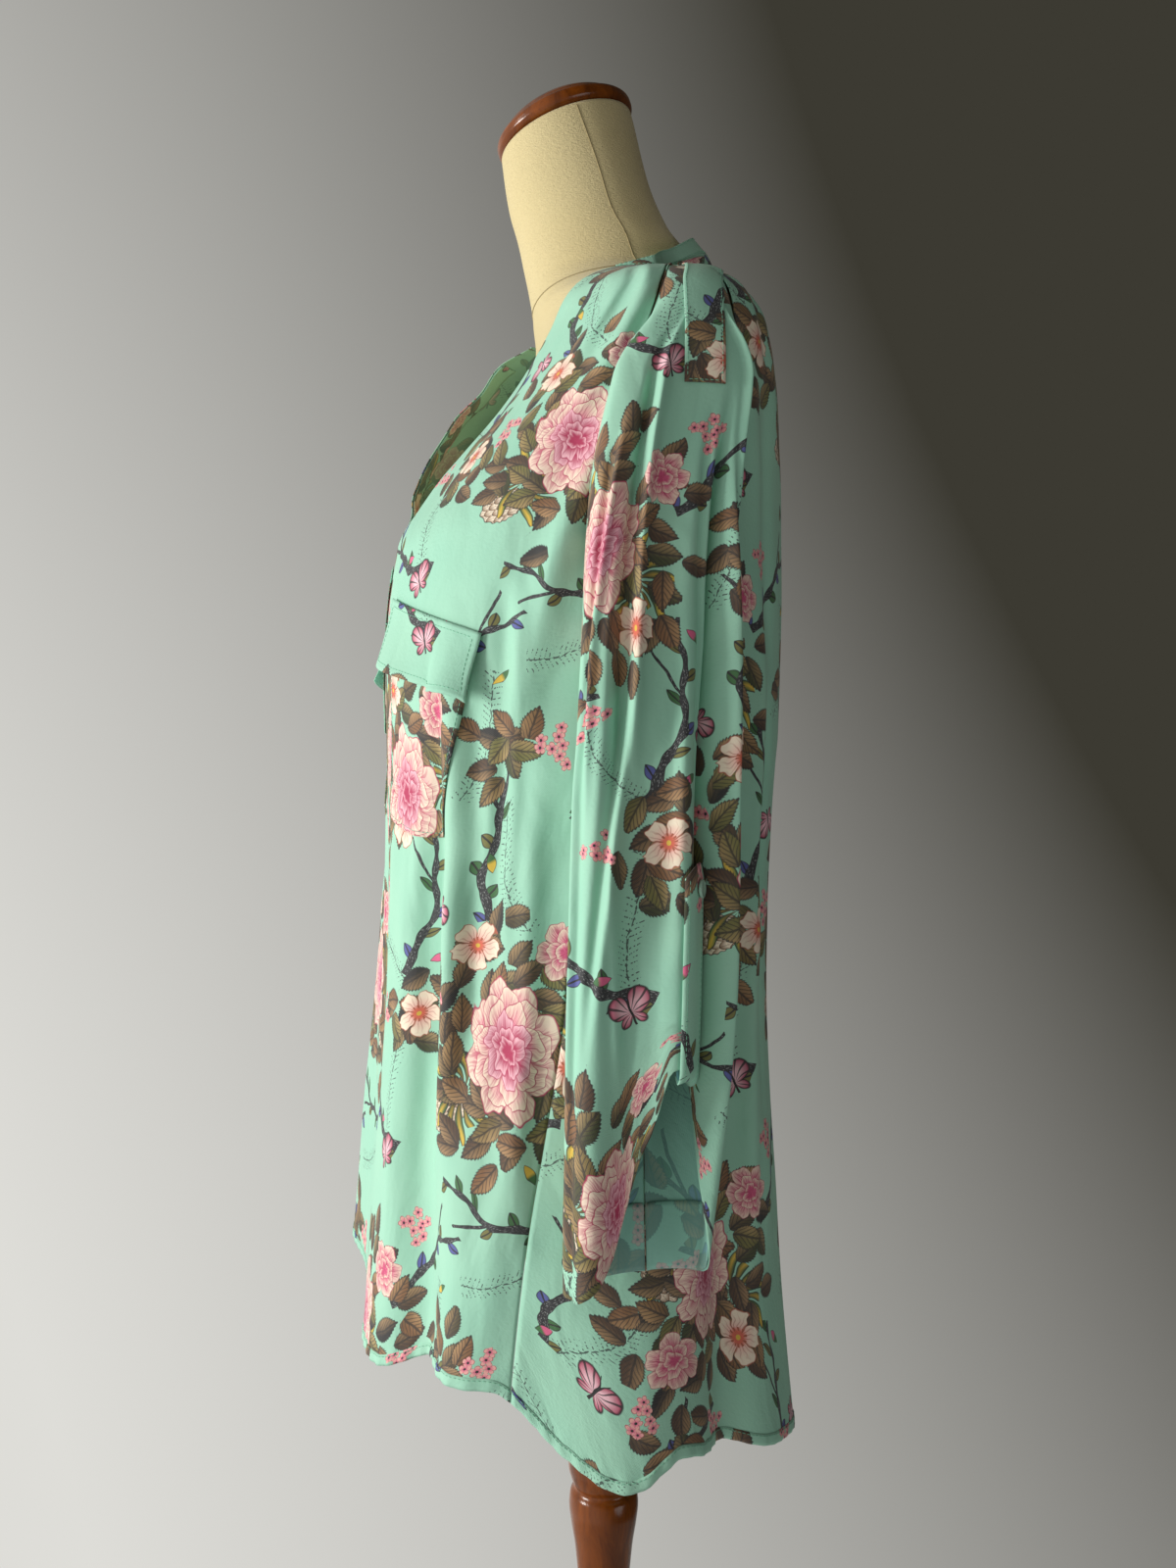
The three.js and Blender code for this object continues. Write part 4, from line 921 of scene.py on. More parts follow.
def draw_cone(flat, ground):
    """A long head of overlapping tan scales."""
    x, y, own = place(flat, CONES)
    radius = (x * x + (y / 0.55) * (y / 0.55)).power(0.5)
    field = -(radius - 0.97) + (y.atan2(x) * 17).sin() * 0.035
    row = (x * 3.6).floor()
    shift = (row * 0.5).fract()
    across = ((y * 3.9 + shift).fract() - 0.5).abs() * 2
    within = (x * 3.6).fract()
    arc = within - across * across * 0.6
    edge = arc.fract().ramp(0.02, 0.14)
    scale = choose(arc.fract().ramp(0.05, 0.95), BROWN, CREAM)
    scale = choose(across.ramp(0.14, 0.0) * 0.6, scale, UMBER)
    scale = choose(edge, INK, scale)
    return inked(ground, scale, field, 0.05)


def petal_field(radius, angle, count, low, high, turn=0.0):
    lobe = ((angle + turn) * (count / 2)).sin().abs().power(0.55)
    return lobe * (high - low) + low - radius


def draw_blossom(flat, ground):
    """An open five-petalled flower, cream, with rust lines running out from a coral heart."""
    x, y, own = place(flat, BLOSSOMS, 1.15)
    bend, _ = noise(join(x, y, own), 2.2, 1.0)
    radius, angle = polar(x, y * 1.15)
    angle = angle + own + (bend - 0.5) * 0.9
    lobe = (angle * 2.5).sin().abs()
    notch = lobe.ramp(0.9, 1.0) * 0.09
    field = petal_field(radius, angle, 5, 0.42, 1.0) - notch + (angle * 17).sin() * 0.012
    veins = (angle * 20).sin().ramp(0.62, 0.95) * radius.ramp(0.85, 0.35)
    colour = choose(radius.ramp(0.2, 0.7), BLUSH, CREAM)
    colour = choose(veins * 0.7, colour, RUST)
    colour = choose(radius.ramp(0.36, 0.2) * 0.9, colour, CORAL)
    split_line = lobe.ramp(0.2, 0.08) * radius.ramp(0.12, 0.25)
    colour = choose(split_line * 0.9, colour, RUST)
    stamen = ((angle * 11).sin() > 0.4) * (radius < 0.34) * (radius > 0.22)
    colour = choose(stamen, colour, RUST)
    colour = choose(radius < 0.09, colour, YELLOW)
    return inked(ground, colour, field, 0.05, RUST)


def draw_peony(flat, ground, table, petals, stretch):
    """A full ruffled flower: rings of petals, deep pink at the root and pale at the rim, finely streaked."""
    x, y, own = place(flat, table, stretch)
    y = y * stretch
    bend, bends = noise(join(x, y, own), 1.9, 2.0)
    bx, by, _ = split(bends)
    radius, angle = polar(x + (bx - 0.5) * 0.34, y + (by - 0.5) * 0.34)
    angle = angle + own
    fine, _ = noise(join(angle * 14, radius * 1.2, own), 2.4, 1.0)
    result = ground
    for ring, (count, high) in enumerate(petals):
        turn = ring * 0.9
        ruffle = (angle * (count * 2.5)).sin() * 0.018
        field = petal_field(radius, angle, count, high * 0.7, high, turn) + ruffle
        deep = field.ramp(0.02, high * 0.5)
        colour = choose(deep, CREAM if ring < 3 else ROSE, PINK if ring < 3 else MAGENTA)
        colour = choose(fine.ramp(0.47, 0.56) * (deep * 0.75 + 0.25), colour, MAGENTA)
        gap = ((angle + turn) * (count / 2)).sin().abs().ramp(0.22, 0.05)
        colour = choose(gap * 0.75, colour, MAGENTA)
        result = inked(result, colour, field, 0.02 if ring else 0.03, MAGENTA)
    return result


def draw_cluster(flat, ground):
    """A loose, ragged cluster of small pink blossoms with dark hearts."""
    x, y, own = place(flat, CLUSTERS, 1.3)
    shifted = join(x + own * 3, y)
    centre, _ = cells(shifted, 2.1, 0.8)
    px, py, _ = split(vector_math("SUBTRACT", shifted, centre))
    cx, cy, _ = split(centre)
    radius, angle = polar(px, py)
    far, heading = polar(cx - own * 3, cy)
    inside = far < ((heading * 3 + own).sin() * 0.25 + 0.72)
    field = petal_field(radius, angle, 5, 0.16, 0.3)
    field = only(inside, field)
    colour = choose(radius.ramp(0.04, 0.2), PINK, BLUSH)
    colour = choose((angle * 2.5).sin().abs().ramp(0.3, 0.1) * 0.7, colour, MAGENTA)
    colour = choose(radius < 0.06, colour, INK)
    return inked(ground, colour, field, 0.035, MAGENTA)


def draw_bud(flat, ground):
    """A small bud: a yellow or pink drop in a green calyx."""
    x, y, own = place(flat, BUDS)
    field = leaf_field((x + 1) / 1.7, y, 0.34)
    colour = choose((own * 2.1).sin() > 0, YELLOW, PINK)
    colour = choose(x.ramp(-0.1, -0.35), colour, GREEN)
    return inked(ground, colour, field, 0.06)


def draw_butterfly(flat, ground):
    """A butterfly with two pairs of pink wings edged in ink."""
    x, y, own = place(flat, BUTTERFLIES)
    wide = y.abs()
    radius, angle = polar(x, wide)
    upper = (angle * 1.5 - 1.25).cos().most(0.0).power(0.7) * 0.98 - radius
    lower = (angle * 2.0 - 4.4).cos().most(0.0).power(0.8) * 0.62 - radius
    lower = only(angle > 1.55, lower)
    upper = only(angle < 1.75, upper)
    wings = upper.most(lower)
    veins = (angle * 15).sin().ramp(0.55, 0.85)
    colour = choose(wings.ramp(0.05, 0.5), MAGENTA, ROSE)
    colour = choose(veins * 0.9, colour, INK)
    result = inked(ground, colour, wings, 0.1)
    trunk = (wide < 0.045) * (x.abs() < 0.42)
    feelers = ((wide - (x - 0.4) * 0.5 - 0.02).abs() < 0.018) * (x > 0.4) * (x < 0.75)
    return paint(result, INK, trunk.most(feelers))


def print_group():
    """The printed ground and its motifs, from the flat cloth's coordinates."""
    group = bpy.data.node_groups.new("flower_print", "ShaderNodeTree")
    group.interface.new_socket("Flat", in_out="INPUT", socket_type="NodeSocketVector")
    group.interface.new_socket("Color", in_out="OUTPUT", socket_type="NodeSocketColor")
    entry, leave = group.nodes.new("NodeGroupInput"), group.nodes.new("NodeGroupOutput")
    flat = vector_math("MULTIPLY", Wire(group, entry.outputs[0]), (PRINT_SCALE, PRINT_SCALE, 0.0))
    _, wobble_colour = noise(flat, 60.0, 1.0)
    shake = vector_math("SUBTRACT", wobble_colour, (0.5, 0.5, 0.5))
    flat = vector_math("ADD", flat, vector_math("MULTIPLY", shake, (0.004, 0.004, 0.0)))
    cloud, _ = noise(flat, 9.0, 2.0)
    colour = choose(cloud.ramp(0.3, 0.7) * 0.4, MINT, MINT_DEEP)
    for draw, *more in (
        (draw_twig,), (draw_branch,), (draw_bud,), (draw_cone,), (draw_blades,),
        (draw_foliage, 0.0, 1.08, (UMBER, OLIVE_DARK, INK)),
        (draw_foliage, 0.517, 0.98, (BROWN, OLIVE, UMBER)),
        (draw_cluster,), (draw_blossom,),
        (draw_peony, ROSES, ROSE_PETALS, 1.0),
        (draw_peony, PEONIES, PEONY_PETALS, 1.28),
        (draw_butterfly,),
    ):
        colour = draw(flat, colour, *more)
    group.links.new(colour.socket, leave.inputs[0])
    return group


PRINT = print_group()


def new_material(name, kind="TexCoord", out="Object", **settings):
    """A material, and a wire of where each place lies on its object or on its flat cloth."""
    material = bpy.data.materials.new(name)
    material.use_nodes = True
    return material, add_node(kind, {}, out, material.node_tree, **settings)


def finish_material(material, colour, values, heights):
    """Sets the colour, the plain values and the bump layers, which are pairs of a height and metres."""
    tree = material.node_tree
    inputs = tree.nodes["Principled BSDF"].inputs
    for name, value in values.items():
        inputs[name].default_value = value
    tree.links.new(colour.socket, inputs["Base Color"])
    layer = {"Strength": 1.0}
    for height, distance in heights:
        layer |= {"Height": height, "Distance": distance}
        layer["Normal"] = add_node("Bump", layer)
    tree.links.new(layer["Normal"].socket, inputs["Normal"])
    return material


VISCOSE = {"Roughness": 0.68, "Sheen Weight": 0.12, "Sheen Roughness": 0.5, "Specular IOR Level": 0.25}
# Keeps every place of the cloth at positive coordinates of the print.
PRINT_START = (2.0, 2.6)
WEAVE = 5200


def cloth_material(name, fade=0.0, tint=MINT, offset=(0.0, 0.0), crush=1.0):
    """Thin printed viscose. fade is how far the print is washed towards tint, as on its reverse."""
    material, uv = new_material(name, "UVMap", 0, uv_map="cut")
    flat = vector_math("ADD", uv, (offset[0] + PRINT_START[0], offset[1] + PRINT_START[1], 0.0))
    colour = choose(fade, add_node("Group", {0: flat}, node_tree=PRINT), tint)
    u, v, _ = split(flat)
    weave = (u * WEAVE).sin() * (v * WEAVE).sin()
    colour = choose(weave.ramp(-1, 1) * 0.06, colour, (1, 1, 1, 1))
    crumple, _ = noise(vector_math("MULTIPLY", flat, (34.0, 15.0, 1.0)), 1.0, 2.0, 0.5, 0.5)
    fine, _ = noise(flat, 420.0)
    bumps = ((crumple, 0.0026 * crush), (fine, 0.00025), (weave, 0.00003))
    return finish_material(material, colour, VISCOSE, bumps)


# Where in the print the sleeves and the bands are cut.
SLEEVE_CUT = (0.13, 0.21)
BAND_CUT = (0.31, 0.08)
FACE = cloth_material("print_face")
REVERSE = cloth_material("print_reverse", 0.55, linear(140, 204, 194))
SLEEVE_FACE = cloth_material("print_sleeve", offset=SLEEVE_CUT)
SLEEVE_REVERSE = cloth_material("print_sleeve_reverse", 0.55, linear(140, 204, 194), SLEEVE_CUT)
BAND_FACE = cloth_material("print_band", 0.0, MINT, BAND_CUT, 0.6)
BAND_REVERSE = cloth_material("print_band_reverse", 0.6, linear(132, 198, 186), BAND_CUT, 0.6)
FACING_INSIDE = cloth_material("print_facing", 0.25, linear(118, 192, 190), BAND_CUT, 0.6)


def thread_material(name, dark, light):
    """Twisted sewing thread."""
    material, at = new_material(name)
    twist, _ = noise(at, 900.0)
    return finish_material(material, choose(twist, dark, light), {"Roughness": 0.6}, ((twist, 0.0002),))


def form_material():
    """Cream cotton jersey pulled over the form."""
    material, at = new_material("form_jersey")
    cloud, _ = noise(at, 7.0, 3.0)
    fibre, _ = noise(at, 900.0, 2.0, 0.7)
    slub, _ = noise(vector_math("MULTIPLY", at, (300.0, 300.0, 1400.0)), 1.0)
    colour = choose(cloud.ramp(0.3, 0.75), linear(220, 204, 158), linear(208, 190, 140))
    colour = choose(fibre.ramp(0.35, 0.7) * 0.25, colour, linear(190, 172, 122))
    values = {"Roughness": 0.9, "Sheen Weight": 0.2}
    return finish_material(material, colour, values, ((slub, 0.0006), (fibre, 0.0004)))


def wood_material(name, axis_scale):
    """Glossy red-brown turned wood with grain along its length."""
    material, at = new_material(name)
    at = vector_math("MULTIPLY", at, axis_scale)
    grain, _ = noise(at, 6.0, 5.0, 0.6, 1.2)
    pores, _ = noise(at, 60.0, 2.0, 0.6)
    colour = choose(grain.ramp(0.32, 0.7), linear(78, 34, 4), linear(138, 70, 12))
    colour = choose(pores.ramp(0.6, 0.75) * 0.35, colour, linear(52, 20, 4))
    values = {"Roughness": 0.22, "Coat Weight": 0.15, "Coat Roughness": 0.15, "Specular IOR Level": 0.35}
    return finish_material(material, colour, values, ((pores, 0.0001),))


def shell_material():
    """Clouded pale shell for the buttons."""
    material, at = new_material("button_shell")
    cloud, _ = noise(at, 160.0, 2.0, 0.5, 1.0)
    colour = choose(cloud.ramp(0.3, 0.7), linear(140, 178, 160), linear(170, 204, 188))
    return finish_material(material, colour, {"Roughness": 0.25}, ((cloud, 0.0001),))


THREAD = thread_material("thread", linear(104, 176, 146), linear(150, 212, 184))
SEAM_THREAD = thread_material("seam_thread", linear(122, 106, 70), linear(170, 154, 110))
FORM_JERSEY = form_material()
WOOD_UPRIGHT = wood_material("wood_upright", (9.0, 9.0, 1.2))
WOOD_FLAT = wood_material("wood_flat", (1.2, 9.0, 9.0))
SHELL = shell_material()
ROOT = "root"


# Pieces
def finish_piece(obj, slot, *nodes):
    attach(obj, ROOT)
    if nodes:
        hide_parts(*nodes)
    return obj


def cloth_piece(name, points, centre, shift, materials, *nodes, keep=None, thickness=CLOTH):
    """Lays a piece of printed cloth. Its print starts at the column centre, moved by shift in metres."""
    cut = cut_coordinates(points, centre) + shift
    return finish_piece(cloth_sheet(name, points, cut, materials, keep, thickness), "printed_cloth", *nodes)


# The front and the back
FRONT_HALF = 92
BACK_HALF = 104
HEM_ROWS = 40
HEM_WIDTH = 7.0
HEM_THICKNESS = 2.0
LAST_LEVEL = 780.0
BACK_TOP = 1446.0
PUCKER_DEPTH = 0.75
PUCKER_REACH = 16.0
# Lengths round the panels and the sleeve, for the dips beside their seams, and where the dips end.
FRONT_ACROSS = 240.0
BACK_ACROSS = 300.0
SLEEVE_ACROSS = 260.0
DIP_TOP = 1385.0
DIP_FADE = 40.0
# The turned hem from its upper edge round the panel's edge: heights above the edge, and how proud it stands.
HEM_HEIGHTS = (HEM_WIDTH, HEM_WIDTH * 0.8, HEM_WIDTH * 0.5, HEM_WIDTH * 0.2, -0.3)
HEM_PROUD = (0.25, 0.5, 0.6, 0.6, 0.3)


def seam_dip(share, length, depth=0.5, reach=2.2):
    """A shallow dip beside a seam, from the share of the way along a row of the given length."""
    return -depth * np.exp(-((share * length / reach) ** 2))


def angle_at(out, z):
    return np.degrees(np.arcsin(np.clip(out / body["half"](z), 0, 1) ** (1 / body["square"](z))))


def front_span(side, z):
    out = np.where(side > 0, front_neck["left"](z), front_neck["right"](z))
    gap = np.degrees(SEAM_GAP / 2 / body["half"](z))
    return angle_at(np.minimum(out, body["half"](z) * 0.97), z), body["front_end"](z) - gap


def levels(top, step=3.5):
    return np.linspace(top, LAST_LEVEL, int(round((top - LAST_LEVEL) / step)) + 1)


def to_hem(angle, rows):
    """Heights from the last level down to the hem, by angle, rows first."""
    share = np.linspace(0, 1, rows + 1)[1:, None]
    return mix(LAST_LEVEL, hem_height(np.abs(angle))[None, :], share)


def pucker(points, above):
    """Small gathers along a stitched hem, from the height above its edge."""
    gone = lengths(points)
    wave = np.sin(gone * 0.47 + 1.7 * np.sin(gone / 31)) * (0.7 + 0.3 * np.sin(gone / 53))
    return PUCKER_DEPTH * wave * ease(1 - above / PUCKER_REACH)


def sewn(points, share, length, z, above):
    """A panel's points with the dips beside its side seams and the puckers above its hem."""
    dip = seam_dip(share[None, :], length) * ease((DIP_TOP - z) / DIP_FADE)
    return outset(points, dip + pucker(points, above))


def front_columns():
    """Each column's side and its share of the way from the centre front to the side seam."""
    share = np.linspace(0, 1, FRONT_HALF)
    return np.repeat((-1, 1), FRONT_HALF), np.concatenate([share[::-1], share])


def front_at(z, above):
    side, share = front_columns()
    start, end = front_span(side, z)
    return sewn(body_point(side * mix(start, end, share), z), 1 - share, FRONT_ACROSS, z, above)


def back_columns():
    share = np.linspace(0, 1, BACK_HALF)
    side = np.concatenate([np.ones(BACK_HALF), -np.ones(BACK_HALF - 1)])
    return side, np.concatenate([share, share[-2::-1]])


def back_at(z, above):
    side, share = back_columns()
    gap = np.degrees(SEAM_GAP / 2 / body["half"](z))
    start = np.maximum(np.where(z > SHOULDER_NECK, back_neck(z), 0), body["back_end"](z) + gap)
    return sewn(body_point(side * mix(start, 180, share), z), share, BACK_ACROSS, z, above)


def panel_heights(upper, low_angle):
    """A panel's heights by row and column, and each one's height above the hem."""
    z = np.broadcast_to(upper[:, None], (len(upper), len(low_angle)))
    z = np.concatenate([z, to_hem(low_angle, HEM_ROWS)])
    return z, z - z[-1]


def hem_band(at, hem):
    """The narrow turned hem: it wraps the panel's edge and stands a little proud on both sides."""
    above = np.array(HEM_HEIGHTS)[:, None]
    points = at(hem[None, :] + above, np.broadcast_to(above, (len(HEM_HEIGHTS), len(hem))))
    return outset(points, np.array(HEM_PROUD)[:, None])


front_heights, front_above = panel_heights(
    levels(SHOULDER_NECK), mix(0, body["front_end"](LAST_LEVEL), front_columns()[1])
)
back_heights, back_above = panel_heights(
    np.concatenate([np.linspace(BACK_TOP, SHOULDER_NECK, 16)[:-1], levels(SHOULDER_NECK)]),
    mix(body["back_end"](LAST_LEVEL), 180, back_columns()[1]),
)
front = front_at(front_heights, front_above)
slit = np.ones((front.shape[0] - 1, front.shape[1] - 1), bool)
slit[:int(np.argmin(np.abs(levels(SHOULDER_NECK) - V_BOTTOM))), FRONT_HALF - 1] = False
front_piece = cloth_piece("front_cloth", front, FRONT_HALF - 1, (0, 0), (FACE, REVERSE), "front", keep=slit)
back_grid = back_at(back_heights, back_above)
back_piece = cloth_piece("back_cloth", back_grid, BACK_HALF - 1, (0, 0), (FACE, REVERSE), "back")

HEM_BANDS = {}
for name, at, heights, centre in (
    ("front", front_at, front_heights, FRONT_HALF - 1),
    ("back", back_at, back_heights, BACK_HALF - 1),
):
    band = hem_band(at, heights[-1])
    piece = cloth_piece(
        f"hem_{name}_cloth", band, centre, (0, -0.7), (FACE, REVERSE), thickness=HEM_THICKNESS
    )
    HEM_BANDS[name] = (piece, band)


# The sleeves
SLEEVE_COLUMNS = 170
SLEEVE_LAST = 910.0
CUFF_ROWS = 34
CUFF_HEM = 38.0
CUFF_HEM_THICKNESS = 0.6
CUFF_HEM_GAP = 0.5
# The groove down the outside of the sleeve: its depth, its reach, where it ends and over what height.
GROOVE_DEPTH = 0.8
GROOVE_REACH = 1.6
GROOVE_TOP = 1280.0
GROOVE_FADE = 20.0


def sleeve_points():
    share = np.linspace(0, 1, SLEEVE_COLUMNS)
    upper = np.linspace(SLEEVE_TOP, SLEEVE_LAST, 134)
    z = np.broadcast_to(upper[:, None], (len(upper), SLEEVE_COLUMNS))
    down = np.linspace(0, 1, CUFF_ROWS + 1)[1:, None]
    z = np.concatenate([z, mix(SLEEVE_LAST, cuff_height(share)[None, :], down)])
    points = sleeve_point(share[None, :], z)
    closed = z <= UNDERARM
    along = np.where(closed, -SEAM_GAP / 2, FACE_GAP * (1 - tip_weight(z)) * ease((z - UNDERARM) / 120))
    for column, way in ((0, 1), (-1, -1)):
        points[:, column, 1] += way * along[:, column]
        points[:, column, 0] += FACE_GAP
    dip = seam_dip(np.minimum(share, 1 - share)[None, :], SLEEVE_ACROSS)
    groove = seam_dip(np.abs(share - 0.5)[None, :], SLEEVE_ACROSS, GROOVE_DEPTH, GROOVE_REACH)
    return outset(points, dip + groove * ease((GROOVE_TOP - z) / GROOVE_FADE))


def cuff_hem_points():
    """The wide hem turned up inside the sleeve, a little inside its cloth."""
    share = np.linspace(0, 1, SLEEVE_COLUMNS)
    z = cuff_height(share)[None, :] + np.linspace(CUFF_HEM, 0.5, 14)[:, None]
    points = sleeve_point(share[None, :], z)
    for column, way in ((0, 1), (-1, -1)):
        points[:, column, 1] -= way * SEAM_GAP / 2
        points[:, column, 0] += FACE_GAP
    return outset(points, -(CLOTH + CUFF_HEM_GAP))


def both(points):
    """The left and the right piece of a pair."""
    return ("left", points), ("right", mirrored(points))


CUFF_HEMS, SLEEVE_PIECES = {}, {}
SLEEVE_MIDDLE = SLEEVE_COLUMNS // 2
SLEEVE_SHIFTS = {"left": (0, 0), "right": (0.17, 0.05)}
for side_name, points in both(cuff_hem_points()):
    CUFF_HEMS[side_name] = cloth_piece(
        f"cuff_hem_{side_name}_cloth", points, SLEEVE_MIDDLE, (0.05, 0.1), (SLEEVE_REVERSE, SLEEVE_REVERSE),
        thickness=CUFF_HEM_THICKNESS,
    )
for side_name, points in both(sleeve_points()):
    SLEEVE_PIECES[side_name] = cloth_piece(
        f"sleeve_{side_name}_cloth", points, SLEEVE_MIDDLE, SLEEVE_SHIFTS[side_name],
        (SLEEVE_FACE, SLEEVE_REVERSE), f"sleeve_{side_name}",
    )


# Bands, pockets, strips and tabs
STITCHES = []
STITCH_LENGTH = 2.2
STITCH_GAP = 1.0
STITCH_RADIUS = 0.24


def stitch_line(path, normal):
    """Short threads lying along a path on the cloth."""
    gone = lengths(path)
    for at in np.arange(STITCH_GAP, gone[-1] - STITCH_LENGTH, STITCH_LENGTH + STITCH_GAP):
        ends = [
            np.array([np.interp(at + t, gone, path[:, k]) for k in range(3)]) for t in (0, STITCH_LENGTH)
        ]
        lift = np.array([np.interp(at, gone, normal[:, k]) for k in range(3)])
        STITCHES.append((ends[0] + lift * 0.1, ends[1] + lift * 0.1, lift))


def patch(corners, rows, columns, sag=None):
    u = np.linspace(0, 1, rows + 1)[:, None]
    v = np.linspace(0, 1, columns + 1)[None, :]
    top_left, top_right, low_left, low_right = corners
    angle, z = (
        mix(mix(top_left[k], top_right[k], v), mix(low_left[k], low_right[k], v), u) for k in (0, 1)
    )
    if sag is not None:
        z = z + sag(u, v)
    return body_point(angle, z)


def edge_stitches(points, inset, which="tblr"):
    """Stitch lines parallel to the sides of a patch, inset by a number of cells."""
    normal = grid_normals(points)
    last_row, last_column = points.shape[0] - 1, points.shape[1] - 1
    lines = {
        "t": (slice(inset, inset + 1), slice(inset, last_column - inset + 1)),
        "b": (slice(last_row - inset, last_row - inset + 1), slice(inset, last_column - inset + 1)),
        "l": (slice(inset, last_row - inset + 1), slice(inset, inset + 1)),
        "r": (slice(inset, last_row - inset + 1), slice(last_column - inset, last_column - inset + 1)),
    }
    for side in which:
        rows, columns = lines[side]
        stitch_line(points[rows, columns].reshape(-1, 3), normal[rows, columns].reshape(-1, 3))


for _, band in HEM_BANDS.values():
    stitch_line(band[1], grid_normals(band)[1])

POCKET_CORNERS = ((18, 1166), (53, 1132), (16.5, 1026), (43, 1010))
FLAP_CORNERS = ((17.5, 1173), (54.5, 1138), (17.5, 1126), (52, 1095))
POCKET_POINT = -7.0
FLAP_STAND = 9.0
POCKET_LIFTS = {"left": 1.3, "right": 2.2}


def swapped(corners):
    return tuple((-a, z) for a, z in (corners[1], corners[0], corners[3], corners[2]))


for side_name, lift in POCKET_LIFTS.items():
    turned = swapped if side_name == "right" else tuple
    pocket = outset(
        patch(turned(POCKET_CORNERS), 48, 36, lambda u, v: POCKET_POINT * u ** 4 * np.sin(math.pi * v)), lift
    )
    piece = cloth_piece(
        f"pocket_{side_name}_cloth", pocket, 0, (0.2, 0.3), (FACE, REVERSE), f"pocket_{side_name}"
    )
    edge_stitches(pocket, 1, "blr")
    base = patch(turned(FLAP_CORNERS), 20, 40)
    swing = np.linspace(0, 1, 21)[:, None] ** 1.5
    flutter = 1 + 0.35 * np.sin(np.linspace(0, 2.6 * math.pi, 41))[None, :]
    flap = outset(base, lift + FLAP_GAP + FLAP_STAND * swing * flutter)
    piece = cloth_piece(
        f"pocket_flap_{side_name}_cloth", flap, 0, (0.05, 0.12), (FACE, REVERSE), f"pocket_flap_{side_name}"
    )
    edge_stitches(flap, 2)

half_placket = math.degrees(PLACKET_WIDTH / 2 / body["half"](1150))
corners = [(turn, z) for z in (PLACKET_TOP, PLACKET_BOTTOM) for turn in (-half_placket, half_placket)]
placket = outset(patch(corners, 60, 14), PLACKET_STAND)
placket_piece = cloth_piece("placket_cloth", placket, 7, (0.3, 0.1), (BAND_FACE, BAND_REVERSE), "placket")
edge_stitches(placket, 1)


def facing_points(side):
    z = np.linspace(1373 if side > 0 else 1389, V_BOTTOM, 60)[:, None]
    start, end = front_span(side, z)
    wide = np.minimum(np.degrees(FACING_WIDTH / body["half"](z)), (end - start) * 0.9)
    share = np.linspace(0.02, 1, 10)[None, :]
    angle = side * (start + wide * share)
    points = body_point(angle, np.broadcast_to(z, angle.shape))
    return points if side > 0 else points[:, ::-1]


for side_name, side in (("left", 1), ("right", -1)):
    facing = outset(facing_points(side), -FACING_SINK)
    piece = cloth_piece(
        f"neck_facing_{side_name}_cloth", facing, 0, (0.1, 0.4), (BAND_REVERSE, FACING_INSIDE),
        f"neck_facing_{side_name}",
    )


def collar_points():
    """The stand band, from the neck edge upwards, dying away at both ends."""
    ridge = int(np.argmin(np.abs(back_grid[:, 0, 2] - SHOULDER_NECK)))
    last = back_grid.shape[1] - 1
    edge = np.concatenate([
        front[0, FRONT_HALF:], back_grid[ridge:0:-1, 0], back_grid[0], back_grid[1:ridge + 1, last],
        front[0, :FRONT_HALF],
    ])
    gone = lengths(edge)
    total = gone[-1]
    at = np.linspace(0, total, 220)
    path = np.stack([np.interp(at, gone, edge[:, k]) for k in range(3)], axis=-1)
    height = NECK_BAND_WIDTH * ease(np.minimum(at, total - at) / 60 + 0.12)
    inward = np.stack([-path[:, 0], 8 - path[:, 1], np.zeros(len(path))], axis=-1)
    inward /= np.linalg.norm(inward, axis=1, keepdims=True)
    lean = 0.28 + 0.36 * np.clip(-inward[:, 1], 0, 1) ** 2
    up = inward * lean[:, None] + (0, 0, 0.8)
    share = np.linspace(1, 0, 13)[:, None, None]
    wave = 0.8 * np.sin(at / 17.0)[None, :, None] * share
    return path[None] + up[None] * (0.4 + height[None, :, None] * share) + inward[None] * wave


collar = collar_points()
collar_piece = cloth_piece("collar_cloth", collar, 110, (0.2, 0.0), (BAND_FACE, BAND_REVERSE), "collar_band")
edge_stitches(collar, 1, "tb")

STRIP_TOP = 1416.0
STRIP_END = 1283.0


def strip_points():
    """The strip from the collar over the shoulder's tip. Its back corner ends higher, against the collar."""
    level = np.concatenate([np.linspace(STRIP_TOP, 1377, 26), np.linspace(1375, STRIP_END, 56)])[:, None]
    offset = np.linspace(-0.5, 0.5, 15)[None, :]
    rising = ease((level - STRIP_RISE_FROM) / (STRIP_TOP - STRIP_RISE_FROM))
    z = level + STRIP_RISE * (offset + 0.5) * rising
    return outset(outer_point(strip_middle(level) + offset * STRIP_WIDTH, z), STRIP_STAND)


for side_name, points in both(strip_points()):
    piece = cloth_piece(
        f"shoulder_strip_{side_name}_cloth", points, 7, (0.12, 0.33), (BAND_FACE, BAND_REVERSE),
        f"shoulder_strip_{side_name}",
    )
    edge_stitches(points, 1, "blr")

# The roll tab: the heights of its top, of its fold at the hem and of its end inside, its shares of the way
# round, and how far its two edges, its inner half and its fold stand off the cloth.
TAB_TOP = 990.0
TAB_FOLD = 905.0
TAB_END = 935.0
TAB_SHARES = (0.534, 0.595)
TAB_STAND = (2.2, 6.2)
TAB_INNER_STAND = 3.6
TAB_FOLD_DROP = 8.5
TAB_POINT = 9.0
TAB_COLUMNS = 9


